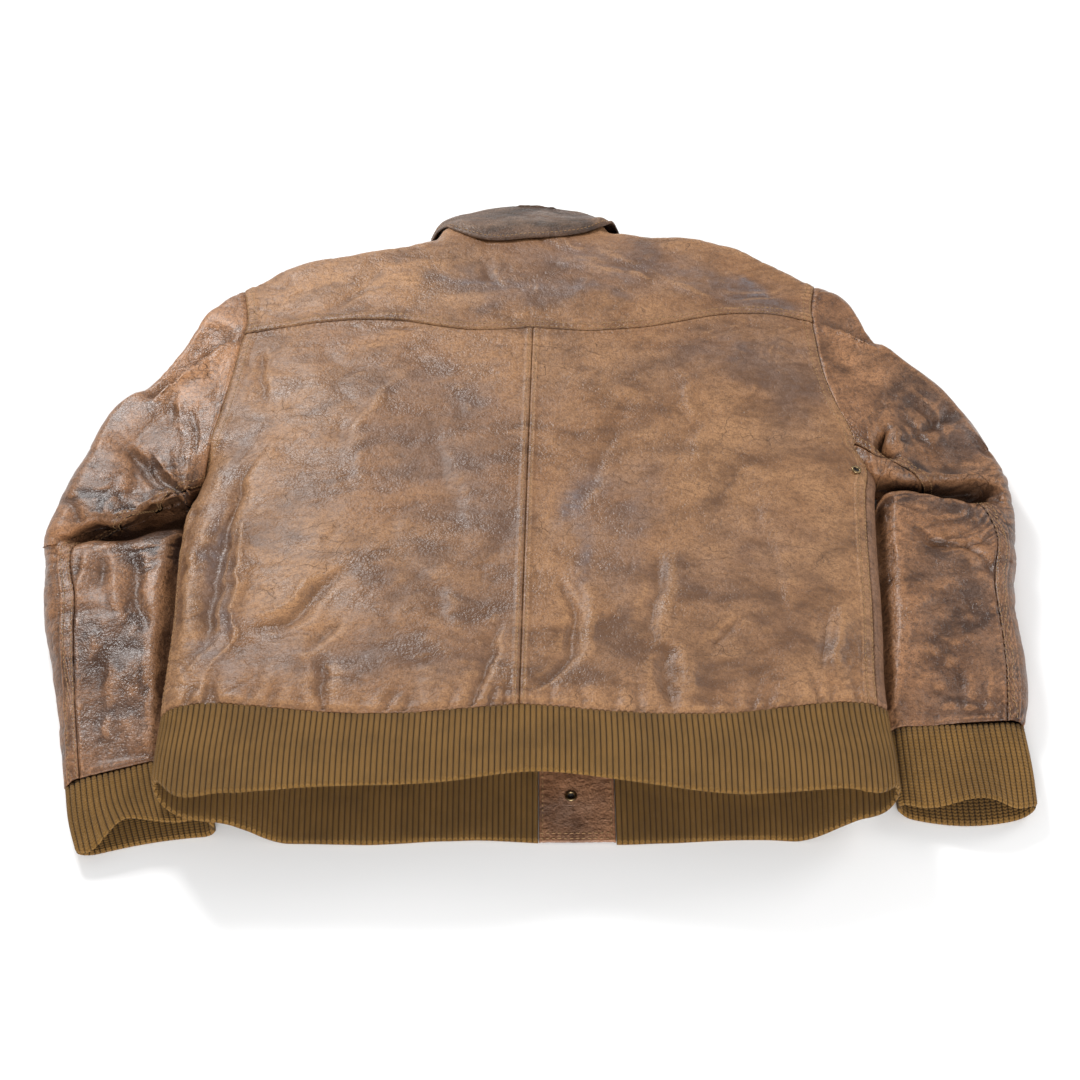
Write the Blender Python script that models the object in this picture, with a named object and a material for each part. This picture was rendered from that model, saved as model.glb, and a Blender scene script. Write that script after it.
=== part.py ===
"""Worn leather jacket lying face down: back up, hem toward -Y, collar toward +Y, resting on z = 0."""
import math

import bmesh
import bpy
import numpy as np

# Walls and gaps, metres
LEATHER = 0.002          # leather wall
KNIT = 0.0032            # doubled knit of waistband and cuffs
GAP = 0.0003             # between pieces that are sewn together
SEAM_CLEAR = 0.0003      # leather edge from the seam line at the waistband
SHIFT = (0.0045, -0.0033, 0.0)   # brings the laid outline over the origin

# Knit
RIB_PITCH = 0.0041       # waistband ribs
RIB_RISE = 0.0008
BAND_MIDDLE = -0.32      # front to back place of the band's middle
ROLL_RUN = 0.029         # ribbed stretch round the upper half of the band's rolled side
CUFF_RIBS = 25           # ribs over the upper half of a cuff
CUFF_RISE = 0.0005

# Body lying flat
SIDE_ROLL = 0.022        # how far the side edge rolls inward
SHOULDER_ROLL = 0.020
HALF_CHEST = 0.27
SIDE_DROP = 0.013        # the back is lower at the armholes than in its middle
SLEEVE_LIFT = 0.0225     # sides of the front lie over the sleeves
LIFT_RUN = 0.035         # from the underarm down to where the sides are fully lifted
LIFT_FROM = 0.178        # distance from the middle where the sides begin to rise
LIFT_WIDE = 0.052
LEAF_LIFT = 0.0036       # the front lies over the collar's front leaves
LEAF_START = (0.165, 0.185)   # half width and lower end of that raised area
LEAF_RUN = (0.045, 0.030)     # over which it rises
SHOULDER_MID = 0.030     # height of the rolled shoulder edge

CROWN = [(-0.365, 0.0705), (-0.32, 0.0645), (-0.283, 0.0575), (-0.25, 0.0590), (-0.15, 0.0600),
         (0.0, 0.0590), (0.156, 0.0585), (0.25, 0.0570), (0.30, 0.0535), (0.335, 0.0460)]
RIB_SEAM = [(-0.28, -0.2735), (-0.24, -0.2710), (-0.19, -0.2785), (-0.15, -0.2845), (-0.10, -0.2860),
            (-0.012, -0.2790), (0.065, -0.2860), (0.14, -0.2840), (0.175, -0.2775), (0.212, -0.2700),
            (0.26, -0.2685)]
UNDER_SEAM = -0.2720     # the same seam where it runs below
YOKE_SEAM = [(-0.27, 0.1600), (-0.225, 0.1690), (-0.135, 0.1705), (-0.06, 0.1535), (-0.009, 0.1560),
             (0.045, 0.1525), (0.09, 0.1585), (0.18, 0.1840), (0.215, 0.1855), (0.25, 0.1770)]
CENTRE_SEAM = [(-0.283, -0.0151), (-0.197, -0.0135), (-0.134, -0.0124), (-0.007, -0.0099), (0.157, -0.0062)]
FRONT_EDGE = [(-0.283, 0.0265), (0.252, -0.0040)]
TOP_EDGE = [(-0.290, 0.2250), (-0.2762, 0.2376), (-0.2459, 0.2610), (-0.219, 0.2768), (-0.1816, 0.2864),
            (-0.1345, 0.2985), (-0.110, 0.3065), (-0.090, 0.3195), (-0.060, 0.3310), (-0.015, 0.3300),
            (0.030, 0.3330), (0.058, 0.3350), (0.080, 0.3280), (0.112, 0.3205), (0.155, 0.3150),
            (0.1875, 0.3010), (0.21, 0.2816), (0.2364, 0.2610), (0.258, 0.2422), (0.275, 0.2280)]
NECK_CENTRE = -0.016
NECK_HALF = 0.072
FRONT_NECK_DROP = 0.080

ARMHOLE = {
    -1: [(-0.060, -0.2895), (-0.030, -0.2860), (0.0074, -0.2805), (0.0456, -0.2752), (0.092, -0.2707),
         (0.1405, -0.2679), (0.1736, -0.2655), (0.2243, -0.2734), (0.250, -0.2785)],
    1: [(-0.020, 0.2830), (0.004, 0.2790), (0.050, 0.2600), (0.100, 0.2500), (0.155, 0.2472),
        (0.200, 0.2485), (0.255, 0.2600)],
}
SIDE_EDGE = {
    -1: [(-0.37, -0.2700), (-0.325, -0.2741), (-0.2465, -0.2777), (-0.1764, -0.2814), (-0.1119, -0.2862),
         (-0.0664, -0.2880), (-0.0309, -0.2845), (0.03, -0.2760)],
    1: [(-0.37, 0.2500), (-0.325, 0.2540), (-0.2465, 0.2555), (-0.1764, 0.2630), (-0.1119, 0.2687),
        (-0.0429, 0.2755), (-0.0065, 0.2800), (0.02, 0.2690), (0.05, 0.2530)],
}
UNDERARM = {-1: (0.025, -0.028), 1: (0.050, 0.000)}   # y where the armhole starts to close, and is closed
SIDE_SEAM = {-1: 2.12, 1: 1.42}                           # where the side seam lies round the rolled edge
HEM_TOP = [(-0.275, -0.3300), (-0.2549, -0.3575), (-0.2183, -0.3606), (-0.1633, -0.3581), (-0.0719, -0.3556),
           (0.0, -0.3453), (0.0644, -0.3547), (0.1368, -0.3648), (0.2109, -0.3547), (0.242, -0.3520),
           (0.256, -0.3320)]
HEM_UNDER = [(-0.275, -0.3440), (-0.2479, -0.3550), (-0.1989, -0.3590), (-0.1315, -0.3614),
             (-0.056, -0.3580), (0.0537, -0.3614), (0.1619, -0.3570), (0.2005, -0.3590),
             (0.256, -0.3480)]

# Creases of the back: rise (+) or fall (-), half width, points
CREASES = [
    (-0.0060, 0.012, [(-0.218, 0.120), (-0.238, 0.024), (-0.247, -0.067), (-0.250, -0.160),
                      (-0.262, -0.235)]),
    (0.0035, 0.010, [(-0.226, -0.060), (-0.228, -0.180), (-0.243, -0.240)]),
    (-0.0050, 0.010, [(-0.222, -0.203), (-0.188, -0.186), (-0.160, -0.140), (-0.142, -0.118)]),
    (-0.0035, 0.009, [(-0.026, -0.197), (-0.048, -0.235), (-0.054, -0.276)]),
    (-0.0045, 0.010, [(0.018, -0.135), (0.026, -0.195), (0.020, -0.235), (-0.006, -0.268)]),
    (-0.0050, 0.009, [(0.087, -0.105), (0.084, -0.180), (0.092, -0.240), (0.094, -0.276)]),
    (0.0030, 0.010, [(0.222, -0.170), (0.212, -0.262)]),
    (-0.0040, 0.011, [(-0.236, 0.176), (-0.233, 0.120)]),
]
GATHERS = [-0.236, -0.196, -0.150, -0.122, -0.092, -0.066, 0.036, 0.072, 0.112, 0.150, 0.176, 0.208, 0.232]
GATHER_FALL = 0.0032
GATHER_HALF = 0.006
GATHER_REACH = 0.030
PUFF = 0.0022            # leather stands above the knit it is gathered onto

# Sleeves: plan of the outer and inner rolled edges from armhole to cuff, with the height between them
SLEEVE_OUTER = {
    -1: [(0.0, (-0.2772, 0.2390)), (0.08, (-0.3040, 0.2090)), (0.16, (-0.3215, 0.1600)),
         (0.24, (-0.3420, 0.1170)), (0.32, (-0.3760, 0.0720)), (0.40, (-0.3890, 0.0060)),
         (0.47, (-0.4035, -0.0560)), (0.50, (-0.4040, -0.0660)), (0.53, (-0.4030, -0.0780)),
         (0.60, (-0.3990, -0.1080)), (0.72, (-0.3880, -0.1640)), (0.86, (-0.3680, -0.2340)),
         (1.0, (-0.3425, -0.3210))],
    1: [(0.0, (0.2595, 0.2440)), (0.08, (0.2850, 0.2250)), (0.16, (0.3010, 0.1800)),
        (0.24, (0.3300, 0.1340)), (0.32, (0.3700, 0.0780)), (0.40, (0.3905, 0.0200)),
        (0.47, (0.3965, -0.0140)), (0.50, (0.3950, -0.0350)), (0.53, (0.3920, -0.0560)),
        (0.60, (0.3860, -0.0860)), (0.72, (0.3785, -0.1420)), (0.86, (0.3715, -0.2080)),
        (1.0, (0.3600, -0.2640))],
}
SLEEVE_INNER = {
    -1: [(0.0, (-0.2880, -0.0330)), (0.24, (-0.2890, -0.0335)), (0.40, (-0.2900, -0.0345)),
         (0.47, (-0.2905, -0.0370)), (0.50, (-0.2908, -0.0500)), (0.53, (-0.2890, -0.0640)),
         (0.60, (-0.2740, -0.0920)), (0.72, (-0.2560, -0.1500)), (0.86, (-0.2480, -0.2220)),
         (1.0, (-0.2455, -0.2905))],
    1: [(0.0, (0.2835, -0.0060)), (0.24, (0.2836, -0.0075)), (0.40, (0.2834, -0.0095)),
        (0.47, (0.2830, -0.0130)), (0.50, (0.2818, -0.0220)), (0.53, (0.2790, -0.0330)),
        (0.60, (0.2640, -0.0660)), (0.72, (0.2470, -0.1340)), (0.86, (0.2440, -0.2080)),
        (1.0, (0.2575, -0.2700))],
}
SLEEVE_HEIGHT = [(0.0, 0.046), (0.16, 0.046), (0.32, 0.044), (0.47, 0.041), (0.53, 0.036), (0.72, 0.034),
                 (0.9, 0.030), (1.0, 0.0225)]
SLEEVE_EDGE = 0.011      # height of the rolled outer edge
SLEEVE_SAG = 0.016       # how far the elbow's middle sags toward the cuff
HEAD_RUN = 0.22          # stations over which the armhole's shape fades into the sleeve
OUTER_ROLL = 0.017
INNER_ROLL = 0.012
FOLD_AT = 0.50           # station of the deep fold below the upper arm
FOLD_HALF = 0.020
FOLD_DEPTH = 0.026
FOLD_FLOOR = 0.0075
ELBOW_SEAM = {           # share of the sleeve's width from the outer edge, along the sleeve
    -1: [(0.0, 0.90), (0.24, 0.88), (0.40, 0.72), (0.47, 0.42), (0.53, 0.27), (0.72, 0.20), (1.0, 0.12)],
    1: [(0.0, 0.90), (0.24, 0.88), (0.40, 0.72), (0.47, 0.40), (0.53, 0.22), (0.72, 0.16), (1.0, 0.14)],
}
INSEAM = 1.72            # on the underside
SLEEVE_WIDTH = 0.12
SLEEVE_BENDS = [
    (-0.0050, 0.014, [(-0.394, -0.026), (-0.364, -0.055)]),
    (-0.0090, 0.007, [(-0.338, 0.002), (-0.318, -0.012), (-0.300, -0.018)]),
    (-0.0060, 0.010, [(-0.272, 0.150), (-0.300, 0.120), (-0.330, 0.085)]),
    (-0.0070, 0.009, [(-0.336, -0.105), (-0.330, -0.170), (-0.326, -0.230)]),
    (-0.0110, 0.007, [(0.290, 0.034), (0.289, 0.014), (0.302, 0.006)]),
    (-0.0060, 0.009, [(0.322, 0.060), (0.348, 0.030)]),
    (-0.0060, 0.011, [(0.252, 0.172), (0.285, 0.146), (0.318, 0.118)]),
    (-0.0080, 0.009, [(0.386, -0.062), (0.352, -0.088)]),
    (-0.0060, 0.010, [(0.330, -0.120), (0.322, -0.190)]),
]

# Cuffs: outer and inner edges at the sleeve seam and at the cuff's end
CUFF = {
    -1: [(0.0, (-0.3425, -0.3210, -0.2455, -0.2905)), (0.5, (-0.3350, -0.3490, -0.2370, -0.3220)),
         (1.0, (-0.3250, -0.3740, -0.2285, -0.3540))],
    1: [(0.0, (0.3600, -0.2640, 0.2575, -0.2700)), (0.5, (0.3590, -0.3010, 0.2560, -0.3030)),
        (1.0, (0.3560, -0.3350, 0.2550, -0.3350))],
}
CUFF_BOW = {-1: -0.004, 1: 0.010}    # how far the middle of the cuff's end reaches past its sides
CUFF_ARCH = {-1: 0.004, 1: 0.009}    # how far the upper layer stands up at the cuff's mouth
ARCH_AT = 0.42           # share of the width where it stands highest
ARCH_HALF = 0.30
ARCH_BACK = 0.006        # how far it draws back there
CUFF_HEIGHT = 0.0200
CUFF_START = 0.003       # share of its length left free at the sleeve seam

# Collar from its left front end round the back to its right front end: neck seam, fold and leaf edge
COLLAR_NECK = [
    (0.0, (-0.0065, 0.2530, 0.0046)), (0.06, (-0.0300, 0.2560, 0.0046)), (0.12, (-0.0550, 0.2770, 0.0046)),
    (0.17, (-0.0750, 0.3085, 0.0050)), (0.215, (-0.0915, 0.3250, 0.0120)), (0.25, (-0.0965, 0.3325, 0.0270)),
    (0.285, (-0.0900, 0.3350, 0.0400)), (0.34, (-0.0700, 0.3365, 0.0440)), (0.53, (-0.0150, 0.3325, 0.0448)),
    (0.66, (0.0300, 0.3360, 0.0445)), (0.74, (0.0520, 0.3385, 0.0420)), (0.785, (0.0655, 0.3400, 0.0290)),
    (0.82, (0.0640, 0.3360, 0.0130)), (0.865, (0.0450, 0.3150, 0.0050)), (0.92, (0.0200, 0.2745, 0.0046)),
    (0.96, (0.0080, 0.2612, 0.0046)), (1.0, (-0.0005, 0.2560, 0.0046))]
COLLAR_FOLD = [
    (0.0, (-0.0065, 0.2860, 0.0066)), (0.06, (-0.0300, 0.2875, 0.0066)), (0.12, (-0.0570, 0.3080, 0.0066)),
    (0.17, (-0.0780, 0.3330, 0.0070)), (0.215, (-0.0925, 0.3460, 0.0110)), (0.25, (-0.0955, 0.3520, 0.0200)),
    (0.285, (-0.0880, 0.3575, 0.0270)), (0.34, (-0.0680, 0.3650, 0.0285)), (0.53, (-0.0120, 0.3760, 0.0290)),
    (0.66, (0.0280, 0.3700, 0.0285)), (0.74, (0.0500, 0.3630, 0.0280)), (0.785, (0.0625, 0.3570, 0.0210)),
    (0.82, (0.0635, 0.3510, 0.0115)), (0.865, (0.0480, 0.3400, 0.0070)), (0.92, (0.0240, 0.3060, 0.0066)),
    (0.96, (0.0100, 0.2900, 0.0066)), (1.0, (-0.0005, 0.2860, 0.0066))]
COLLAR_EDGE = [
    (0.0, (-0.0300, 0.2260, 0.0010)), (0.06, (-0.0550, 0.2350, 0.0010)), (0.12, (-0.0850, 0.2550, 0.0010)),
    (0.17, (-0.1040, 0.2830, 0.0010)), (0.215, (-0.1110, 0.3160, 0.0030)), (0.25, (-0.1080, 0.3330, 0.0170)),
    (0.285, (-0.0985, 0.3330, 0.0370)), (0.34, (-0.0800, 0.3120, 0.0500)), (0.40, (-0.0550, 0.2960, 0.0545)),
    (0.53, (-0.0120, 0.2985, 0.0550)), (0.62, (0.0200, 0.3020, 0.0545)), (0.69, (0.0450, 0.3110, 0.0530)),
    (0.74, (0.0620, 0.3260, 0.0490)), (0.785, (0.0765, 0.3440, 0.0300)), (0.82, (0.0810, 0.3370, 0.0110)),
    (0.865, (0.0780, 0.3000, 0.0010)), (0.92, (0.0640, 0.2600, 0.0010)), (0.96, (0.0450, 0.2400, 0.0010)),
    (1.0, (0.0220, 0.2260, 0.0010))]
COLLAR_STEPS = [0, 0.06, 0.12, 0.17, 0.1925, 0.215, 0.2325, 0.25, 0.2675, 0.285, 0.3125, 0.34, 0.40, 0.465,
                0.53, 0.595, 0.66, 0.70, 0.74, 0.7625, 0.785, 0.8025, 0.82, 0.8425, 0.865, 0.92, 0.96, 1]
COLLAR_BACK = (0.29, 0.78)   # stretch that lies over the yoke
COLLAR_TURN = 0.0028     # half the distance between stand and leaf at the fold
LEAF_BULGE = 0.0020
LEAF_MARGIN = 0.008

PLACKET_WIDTH = 0.055
PLACKET_TOP = 0.240
TAB_END = -0.3600
TAB_STEP = -0.2750       # the strip lies on the fronts above this line
PLACKET_ROWS = [TAB_END, -0.345, -0.330, -0.315, -0.300, -0.2760, -0.2740, -0.15, 0.0, 0.12, 0.18, 0.195,
                0.21, 0.225, PLACKET_TOP]
STRIP_AHEAD = 0.015      # the strip rises this much before the fronts do
SNAP_AT = (0.0224, -0.3211)
EYELET_AT = (0.2615, -0.0198)
EYELET_OUT = 0.0044
EYELET_HOLE = 0.0022

COLOURS = {
    "back": (0.33, 0.19, 0.11), "yoke": (0.34, 0.20, 0.12), "front": (0.28, 0.15, 0.085),
    "sleeve": (0.24, 0.125, 0.075), "collar": (0.19, 0.12, 0.085), "knit": (0.19, 0.13, 0.05),
    "strap": (0.21, 0.11, 0.06), "brass": (0.45, 0.33, 0.16),
}


def curve(knots, at):
    """Smooth curve through (position, value) knots."""
    t = np.array([k[0] for k in knots], float)
    y = np.array([k[1] for k in knots], float)
    m = np.gradient(y, t, axis=0)
    x = np.clip(np.asarray(at, float), t[0], t[-1])
    i = np.clip(np.searchsorted(t, x) - 1, 0, len(t) - 2)
    h = t[i + 1] - t[i]
    s = (x - t[i]) / h
    if y.ndim > 1:
        s, h = s[..., None], h[..., None]
    return ((2 * s**3 - 3 * s**2 + 1) * y[i] + (s**3 - 2 * s**2 + s) * h * m[i]
            + (3 * s**2 - 2 * s**3) * y[i + 1] + (s**3 - s**2) * h * m[i + 1])


def ease(a):
    a = np.clip(a, 0.0, 1.0)
    return a * a * (3 - 2 * a)


def bulge(a):
    """Quarter round: 0 on a rolled edge, 1 past the roll."""
    a = np.clip(a, 0.0, 1.0)
    return np.sqrt(1 - (1 - a) ** 2)


def lerp(a, b, t):
    return a + (b - a) * t


def unit(v):
    return v / np.linalg.norm(v, axis=-1, keepdims=True)


def crease(x, y, rise, half, points):
    """Soft ridge or trough along a line, fading toward both ends."""
    best = np.full(np.shape(x), np.inf)
    along = np.zeros(np.shape(x))
    pts = np.array(points, float)
    steps = np.linalg.norm(np.diff(pts, axis=0), axis=1)
    done = np.concatenate([[0], np.cumsum(steps)]) / steps.sum()
    for a, b, s0, s1 in zip(pts[:-1], pts[1:], done[:-1], done[1:]):
        t = ((x - a[0]) * (b - a)[0] + (y - a[1]) * (b - a)[1]) / ((b - a) ** 2).sum()
        t = np.clip(t, 0, 1)
        d = np.hypot(x - lerp(a[0], b[0], t), y - lerp(a[1], b[1], t))
        along = np.where(d < best, lerp(s0, s1, t), along)
        best = np.minimum(best, d)
    fade = ease(along / 0.25) * ease((1 - along) / 0.25) * 0.75 + 0.25
    return rise * fade * np.exp(-(best / half) ** 2)


def creases(x, y, rows):
    return sum(crease(x, y, *row) for row in rows)


def back_height(x, y):
    """Upper face of the back lying on the front."""
    across = np.abs(x - curve(CENTRE_SEAM, y)) / HALF_CHEST
    z = curve(CROWN, y) - SIDE_DROP * across ** 2.5
    above = y - curve(RIB_SEAM, x)
    near = ease(above / 0.006) * np.exp(-(np.maximum(above, 0) / GATHER_REACH) ** 2)
    z = z + PUFF * near
    for g in GATHERS:
        z = z - GATHER_FALL * near * np.exp(-((x - g) / GATHER_HALF) ** 2)
    return z + creases(x, y, CREASES)


def lift(side, y):
    """How far the sides of the front are held up by the sleeve."""
    shut = UNDERARM[side][1]
    return SLEEVE_LIFT * ease((shut - y) / LIFT_RUN)


def front_height(x, y):
    """Underside of the front: on the floor, over the sleeves at its sides and over the collar leaves."""
    side = np.where(x < 0, -1, 1)
    high = np.where(side < 0, lift(-1, y), lift(1, y))
    z = high * ease((np.abs(x) - LIFT_FROM) / LIFT_WIDE)
    leaf = ease((y - LEAF_START[1]) / LEAF_RUN[1]) * ease((LEAF_START[0] - np.abs(x)) / LEAF_RUN[0])
    return z + LEAF_LIFT * leaf


def side_edge(side, y):
    """Silhouette of the body below the armhole."""
    x = np.where(np.asarray(y) < 0.02, curve(SIDE_EDGE[side], y), curve(ARMHOLE[side], y))
    inner = np.abs(curve(ARMHOLE[side], y)) - 0.0012
    return side * np.minimum(np.abs(x), inner)


def section(side, k, y):
    """Outer point round the body: k = 0 centre back, 1 to 3 the rolled side, 4 centre front."""
    edge = side_edge(side, y)
    foot = edge - side * SIDE_ROLL
    k = np.clip(k, 0.0, 4.0)
    turn = np.clip(k - 1, 0, 2) * math.pi / 2
    middle = np.where(k <= 1, curve(CENTRE_SEAM, y), curve(FRONT_EDGE, y))
    x = lerp(middle, foot, np.where(k <= 1, k, 4 - k))
    x = np.where((k > 1) & (k < 3), foot + side * SIDE_ROLL * np.sin(turn), x)
    top, low = back_height(x, y), front_height(x, y)
    mid = (back_height(edge, y) + front_height(edge, y)) / 2
    rise = np.where(k < 2, top - mid, mid - low)
    z = mid + rise * np.cos(turn)
    return np.stack([x, y + 0 * x, z], -1)


def walled(point, a, thick, inward):
    """A point and the one a wall's thickness below it, square to the section."""
    step = 1e-3
    p = point(a)
    d = point(a + step) - point(a - step)
    d[..., 1] = 0
    n = np.stack([-d[..., 2], 0 * d[..., 0], d[..., 0]], -1)
    n = n / np.linalg.norm(n, axis=-1, keepdims=True)
    return p, p + inward * thick * n


def open_amount(side, y):
    """1 where the armhole is open, 0 below the underarm."""
    top, shut = UNDERARM[side]
    return ease((y - shut) / (top - shut))


def back_grid(side, u, y, thick=LEATHER):
    """Back panel: u = 0 centre seam to 1 at the armhole or side seam."""
    seam = SIDE_SEAM[side] - GAP / SIDE_ROLL / 3
    k = np.where(u <= ROLL_FROM, u / ROLL_FROM, 1 + (u - ROLL_FROM) / (1 - ROLL_FROM) * (seam - 1))
    rolled, rolled_in = walled(lambda a: section(side, a, y), k, thick, -side)
    x = lerp(curve(CENTRE_SEAM, y), curve(ARMHOLE[side], y), u)
    flat = np.stack([x, y + 0 * x, back_height(x, y)], -1)
    share = open_amount(side, y)[..., None]
    drop = np.array([0, 0, thick])
    outer, inner = lerp(rolled, flat, share), lerp(rolled_in, flat - drop, share)
    clear = -side * GAP / 2 * (1 - u)
    outer[..., 0] -= clear
    inner[..., 0] -= clear
    return outer, inner


ROLL_FROM = 0.86         # share of a back panel's columns that lie flat
BACK_COLUMNS = np.concatenate([np.linspace(0, ROLL_FROM, 17), np.linspace(ROLL_FROM, 1, 4)[1:]])
BACK_ROWS = np.array([0, 0.016, 0.045, 0.086, 0.155, 0.234, 0.325, 0.416, 0.495, 0.564, 0.62, 0.666, 0.711,
                      0.765, 0.83, 0.91, 1])
YOKE_FLAT_ROWS = 4
YOKE_ROLL_ROWS = 3


def settle(at_x, x_of_y, guess, rounds=4):
    """Solve y = at_x(x) together with x = x_of_y(y)."""
    y = at_x(guess)
    for _ in range(rounds):
        y = at_x(x_of_y(y))
    return y


def back_x(side, u, y):
    return back_grid(side, u, y)[0][..., 0]


def back_panel(side):
    u, v = np.meshgrid(BACK_COLUMNS, BACK_ROWS)
    near = lerp(-0.012, side * HALF_CHEST, u)
    low = settle(lambda x: curve(RIB_SEAM, x) + SEAM_CLEAR, lambda y: back_x(side, u, y), near)
    high = settle(lambda x: curve(YOKE_SEAM, x) - GAP / 2, lambda y: back_x(side, u, y), near)
    outer, inner = back_grid(side, u, lerp(low, high, v))
    return outer, inner


def rib_seam(x, k):
    """Where the knit band begins, round the body."""
    return lerp(curve(RIB_SEAM, x), UNDER_SEAM, ease(k - 2))


def front_k(side, u):
    seam = SIDE_SEAM[side] + GAP / SIDE_ROLL / 3
    return np.where(u <= 0.7, 4 - u / 0.7, 3 - (u - 0.7) / 0.3 * (3 - seam))


def front_grid(side, u, y, thick=LEATHER):
    """Front panel: u = 0 centre front edge to 1 at the armhole or side seam."""
    k = front_k(side, u)
    rolled, rolled_in = walled(lambda a: section(side, a, y), k, thick, -side)
    x = lerp(curve(FRONT_EDGE, y), curve(ARMHOLE[side], y), u)
    flat = np.stack([x, y + 0 * x, front_height(x, y)], -1)
    share = open_amount(side, y)[..., None]
    rise = np.array([0, 0, thick])
    outer, inner = lerp(rolled, flat, share), lerp(rolled_in, flat + rise, share)
    clear = side * GAP / 2 * (1 - u)
    outer[..., 0] += clear
    inner[..., 0] += clear
    return outer, inner


def neck_share(x):
    """1 across the neck opening, 0 along the shoulders."""
    return ease((NECK_HALF + 0.022 - np.abs(x - NECK_CENTRE)) / 0.022)


def front_top(x):
    drop = FRONT_NECK_DROP * ease((NECK_HALF + 0.014 - np.abs(x - NECK_CENTRE)) / NECK_HALF)
    return curve(TOP_EDGE, x) - drop


def yoke():
    """Yoke from its seam over the back to the neck and over the rolled shoulders."""
    left = BACK_COLUMNS[::-1]
    u = np.concatenate([left, BACK_COLUMNS[1:]])
    side = np.concatenate([-np.ones(len(left)), np.ones(len(BACK_COLUMNS) - 1)])
    rows = YOKE_FLAT_ROWS + YOKE_ROLL_ROWS + 1
    step = np.arange(rows)[:, None]
    u, side = np.broadcast_arrays(u[None], side[None])

    def x_of_y(y):
        reach = np.where(side < 0, curve(ARMHOLE[-1], y), curve(ARMHOLE[1], y))
        return lerp(curve(CENTRE_SEAM, y), reach, u)

    guess = lerp(-0.008, side * HALF_CHEST, u)
    low = settle(lambda x: curve(YOKE_SEAM, x) + GAP / 2, x_of_y, guess)
    high = settle(lambda x: curve(TOP_EDGE, x), x_of_y, guess)
    share = neck_share(x_of_y(high))
    return shoulder_rows(low, high, share, step, x_of_y, back_height, YOKE_FLAT_ROWS, YOKE_ROLL_ROWS, 1)


def shoulder_rows(low, high, share, step, x_of_y, height, flat_rows, roll_rows, sign):
    """Rows of a panel up to the shoulder roll, with wall points that stay on the armhole line."""
    rows = flat_rows + roll_rows
    turn = np.clip((step - flat_rows) / roll_rows, 0, 1) * math.pi / 2
    flat_y = lerp(low, high, step / rows)
    roll_y = np.where(step <= flat_rows, lerp(low, high - SHOULDER_ROLL, step / flat_rows),
                      high - SHOULDER_ROLL + SHOULDER_ROLL * np.sin(turn))
    y = lerp(roll_y, flat_y, share)
    x = x_of_y(y)
    over = height(x, y)
    mid = SHOULDER_MID + sign * GAP / 2
    z_roll = lerp(mid, over, np.cos(turn))
    z = lerp(z_roll, over, share)
    outer = np.stack([x, y, z], -1)
    away = (1 - share) * np.sin(turn)
    y_in = y - LEATHER * away
    down = np.sqrt(np.maximum(1 - away**2, 0.0))
    inner = np.stack([x_of_y(y_in), y_in, z - sign * LEATHER * down], -1)
    return outer, inner


def front_panel(side):
    """Front panel from the waistband to the neck and the underside of the shoulder roll."""
    u = np.concatenate([np.linspace(0, 0.36, 6), [0.47, 0.58], np.linspace(0.7, 1, 5)])[None]
    flat_rows, roll_rows = 4, 3

    def x_of_y(y):
        return front_grid(side, u, y)[0][..., 0]

    guess = lerp(0.01, side * HALF_CHEST, u)
    rib = settle(lambda x: rib_seam(x, front_k(side, u)) + SEAM_CLEAR, x_of_y, guess)
    level = settle(lambda x: curve(YOKE_SEAM, x) - GAP / 2, x_of_y, guess)
    high = settle(front_top, x_of_y, guess, 8)
    share = neck_share(x_of_y(high))
    v = BACK_ROWS[:, None]
    lower_out, lower_in = front_grid(side, u, lerp(rib, level, v) + 0 * u)
    step = np.arange(1, flat_rows + roll_rows + 1)[:, None]
    upper_out, upper_in = shoulder_rows(level, high, share, step, x_of_y, front_height,
                                        flat_rows, roll_rows, -1)
    return np.concatenate([lower_out, upper_out]), np.concatenate([lower_in, upper_in])


def sleeve_lid(side, x, y):
    """Height a sleeve may reach where it is tucked under the side of the body."""
    edge = np.abs(side_edge(side, y))
    inside = front_height(side * np.minimum(np.abs(x), edge - 0.004), y) - 0.0020
    beyond = np.maximum(np.abs(x) - edge - 0.003, 0)
    free = ease((y - UNDERARM[side][1] + 0.042) / 0.03)
    return inside + 1.1 * beyond + 0.06 * free


def sleeve_rise(side, s, q):
    """Plan point and upper height of the sleeve at station s, share q of its width."""
    out, inn = curve(SLEEVE_OUTER[side], s), curve(SLEEVE_INNER[side], s)
    chord = out + (inn - out) * q[..., None]
    first_out, first_in = SLEEVE_OUTER[side][0][1], SLEEVE_INNER[side][0][1]
    hole_y = lerp(first_out[1], first_in[1], q)
    hole_x = curve(ARMHOLE[side], hole_y) + side * 2 * GAP
    straight = lerp(first_out[0], first_in[0], q)
    bow = 1 - ease(s / HEAD_RUN)
    x = chord[..., 0] + bow * (hole_x - straight)
    elbow = ease((s - 0.3) / 0.15) * ease((0.7 - s) / 0.15)
    y = chord[..., 1] - SLEEVE_SAG * np.sin(math.pi * np.clip(q, 0, 1)) * elbow
    width = np.linalg.norm(inn - out, axis=-1)
    high = lerp(back_height(hole_x, hole_y), curve(SLEEVE_HEIGHT, s), ease(s / 0.2))
    shape = bulge(q * width / OUTER_ROLL) * bulge((1 - q) * width / INNER_ROLL)
    edge = lerp(SHOULDER_MID, SLEEVE_EDGE, ease(s / 0.25))
    z = high + creases(x, y, SLEEVE_BENDS) * ease(s / 0.1)
    dip = FOLD_DEPTH * ease((q - 0.12) / 0.25) * np.exp(-((s - FOLD_AT) / FOLD_HALF) ** 2)
    z = np.maximum(z - dip, FOLD_FLOOR)
    z = lerp(np.minimum(edge, z), z, shape)
    lid = sleeve_lid(side, x, y)
    z = np.where(s > 0.3, np.minimum(z, np.maximum(lid, FOLD_FLOOR)), z)
    return x, y, z, edge, shape


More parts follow.
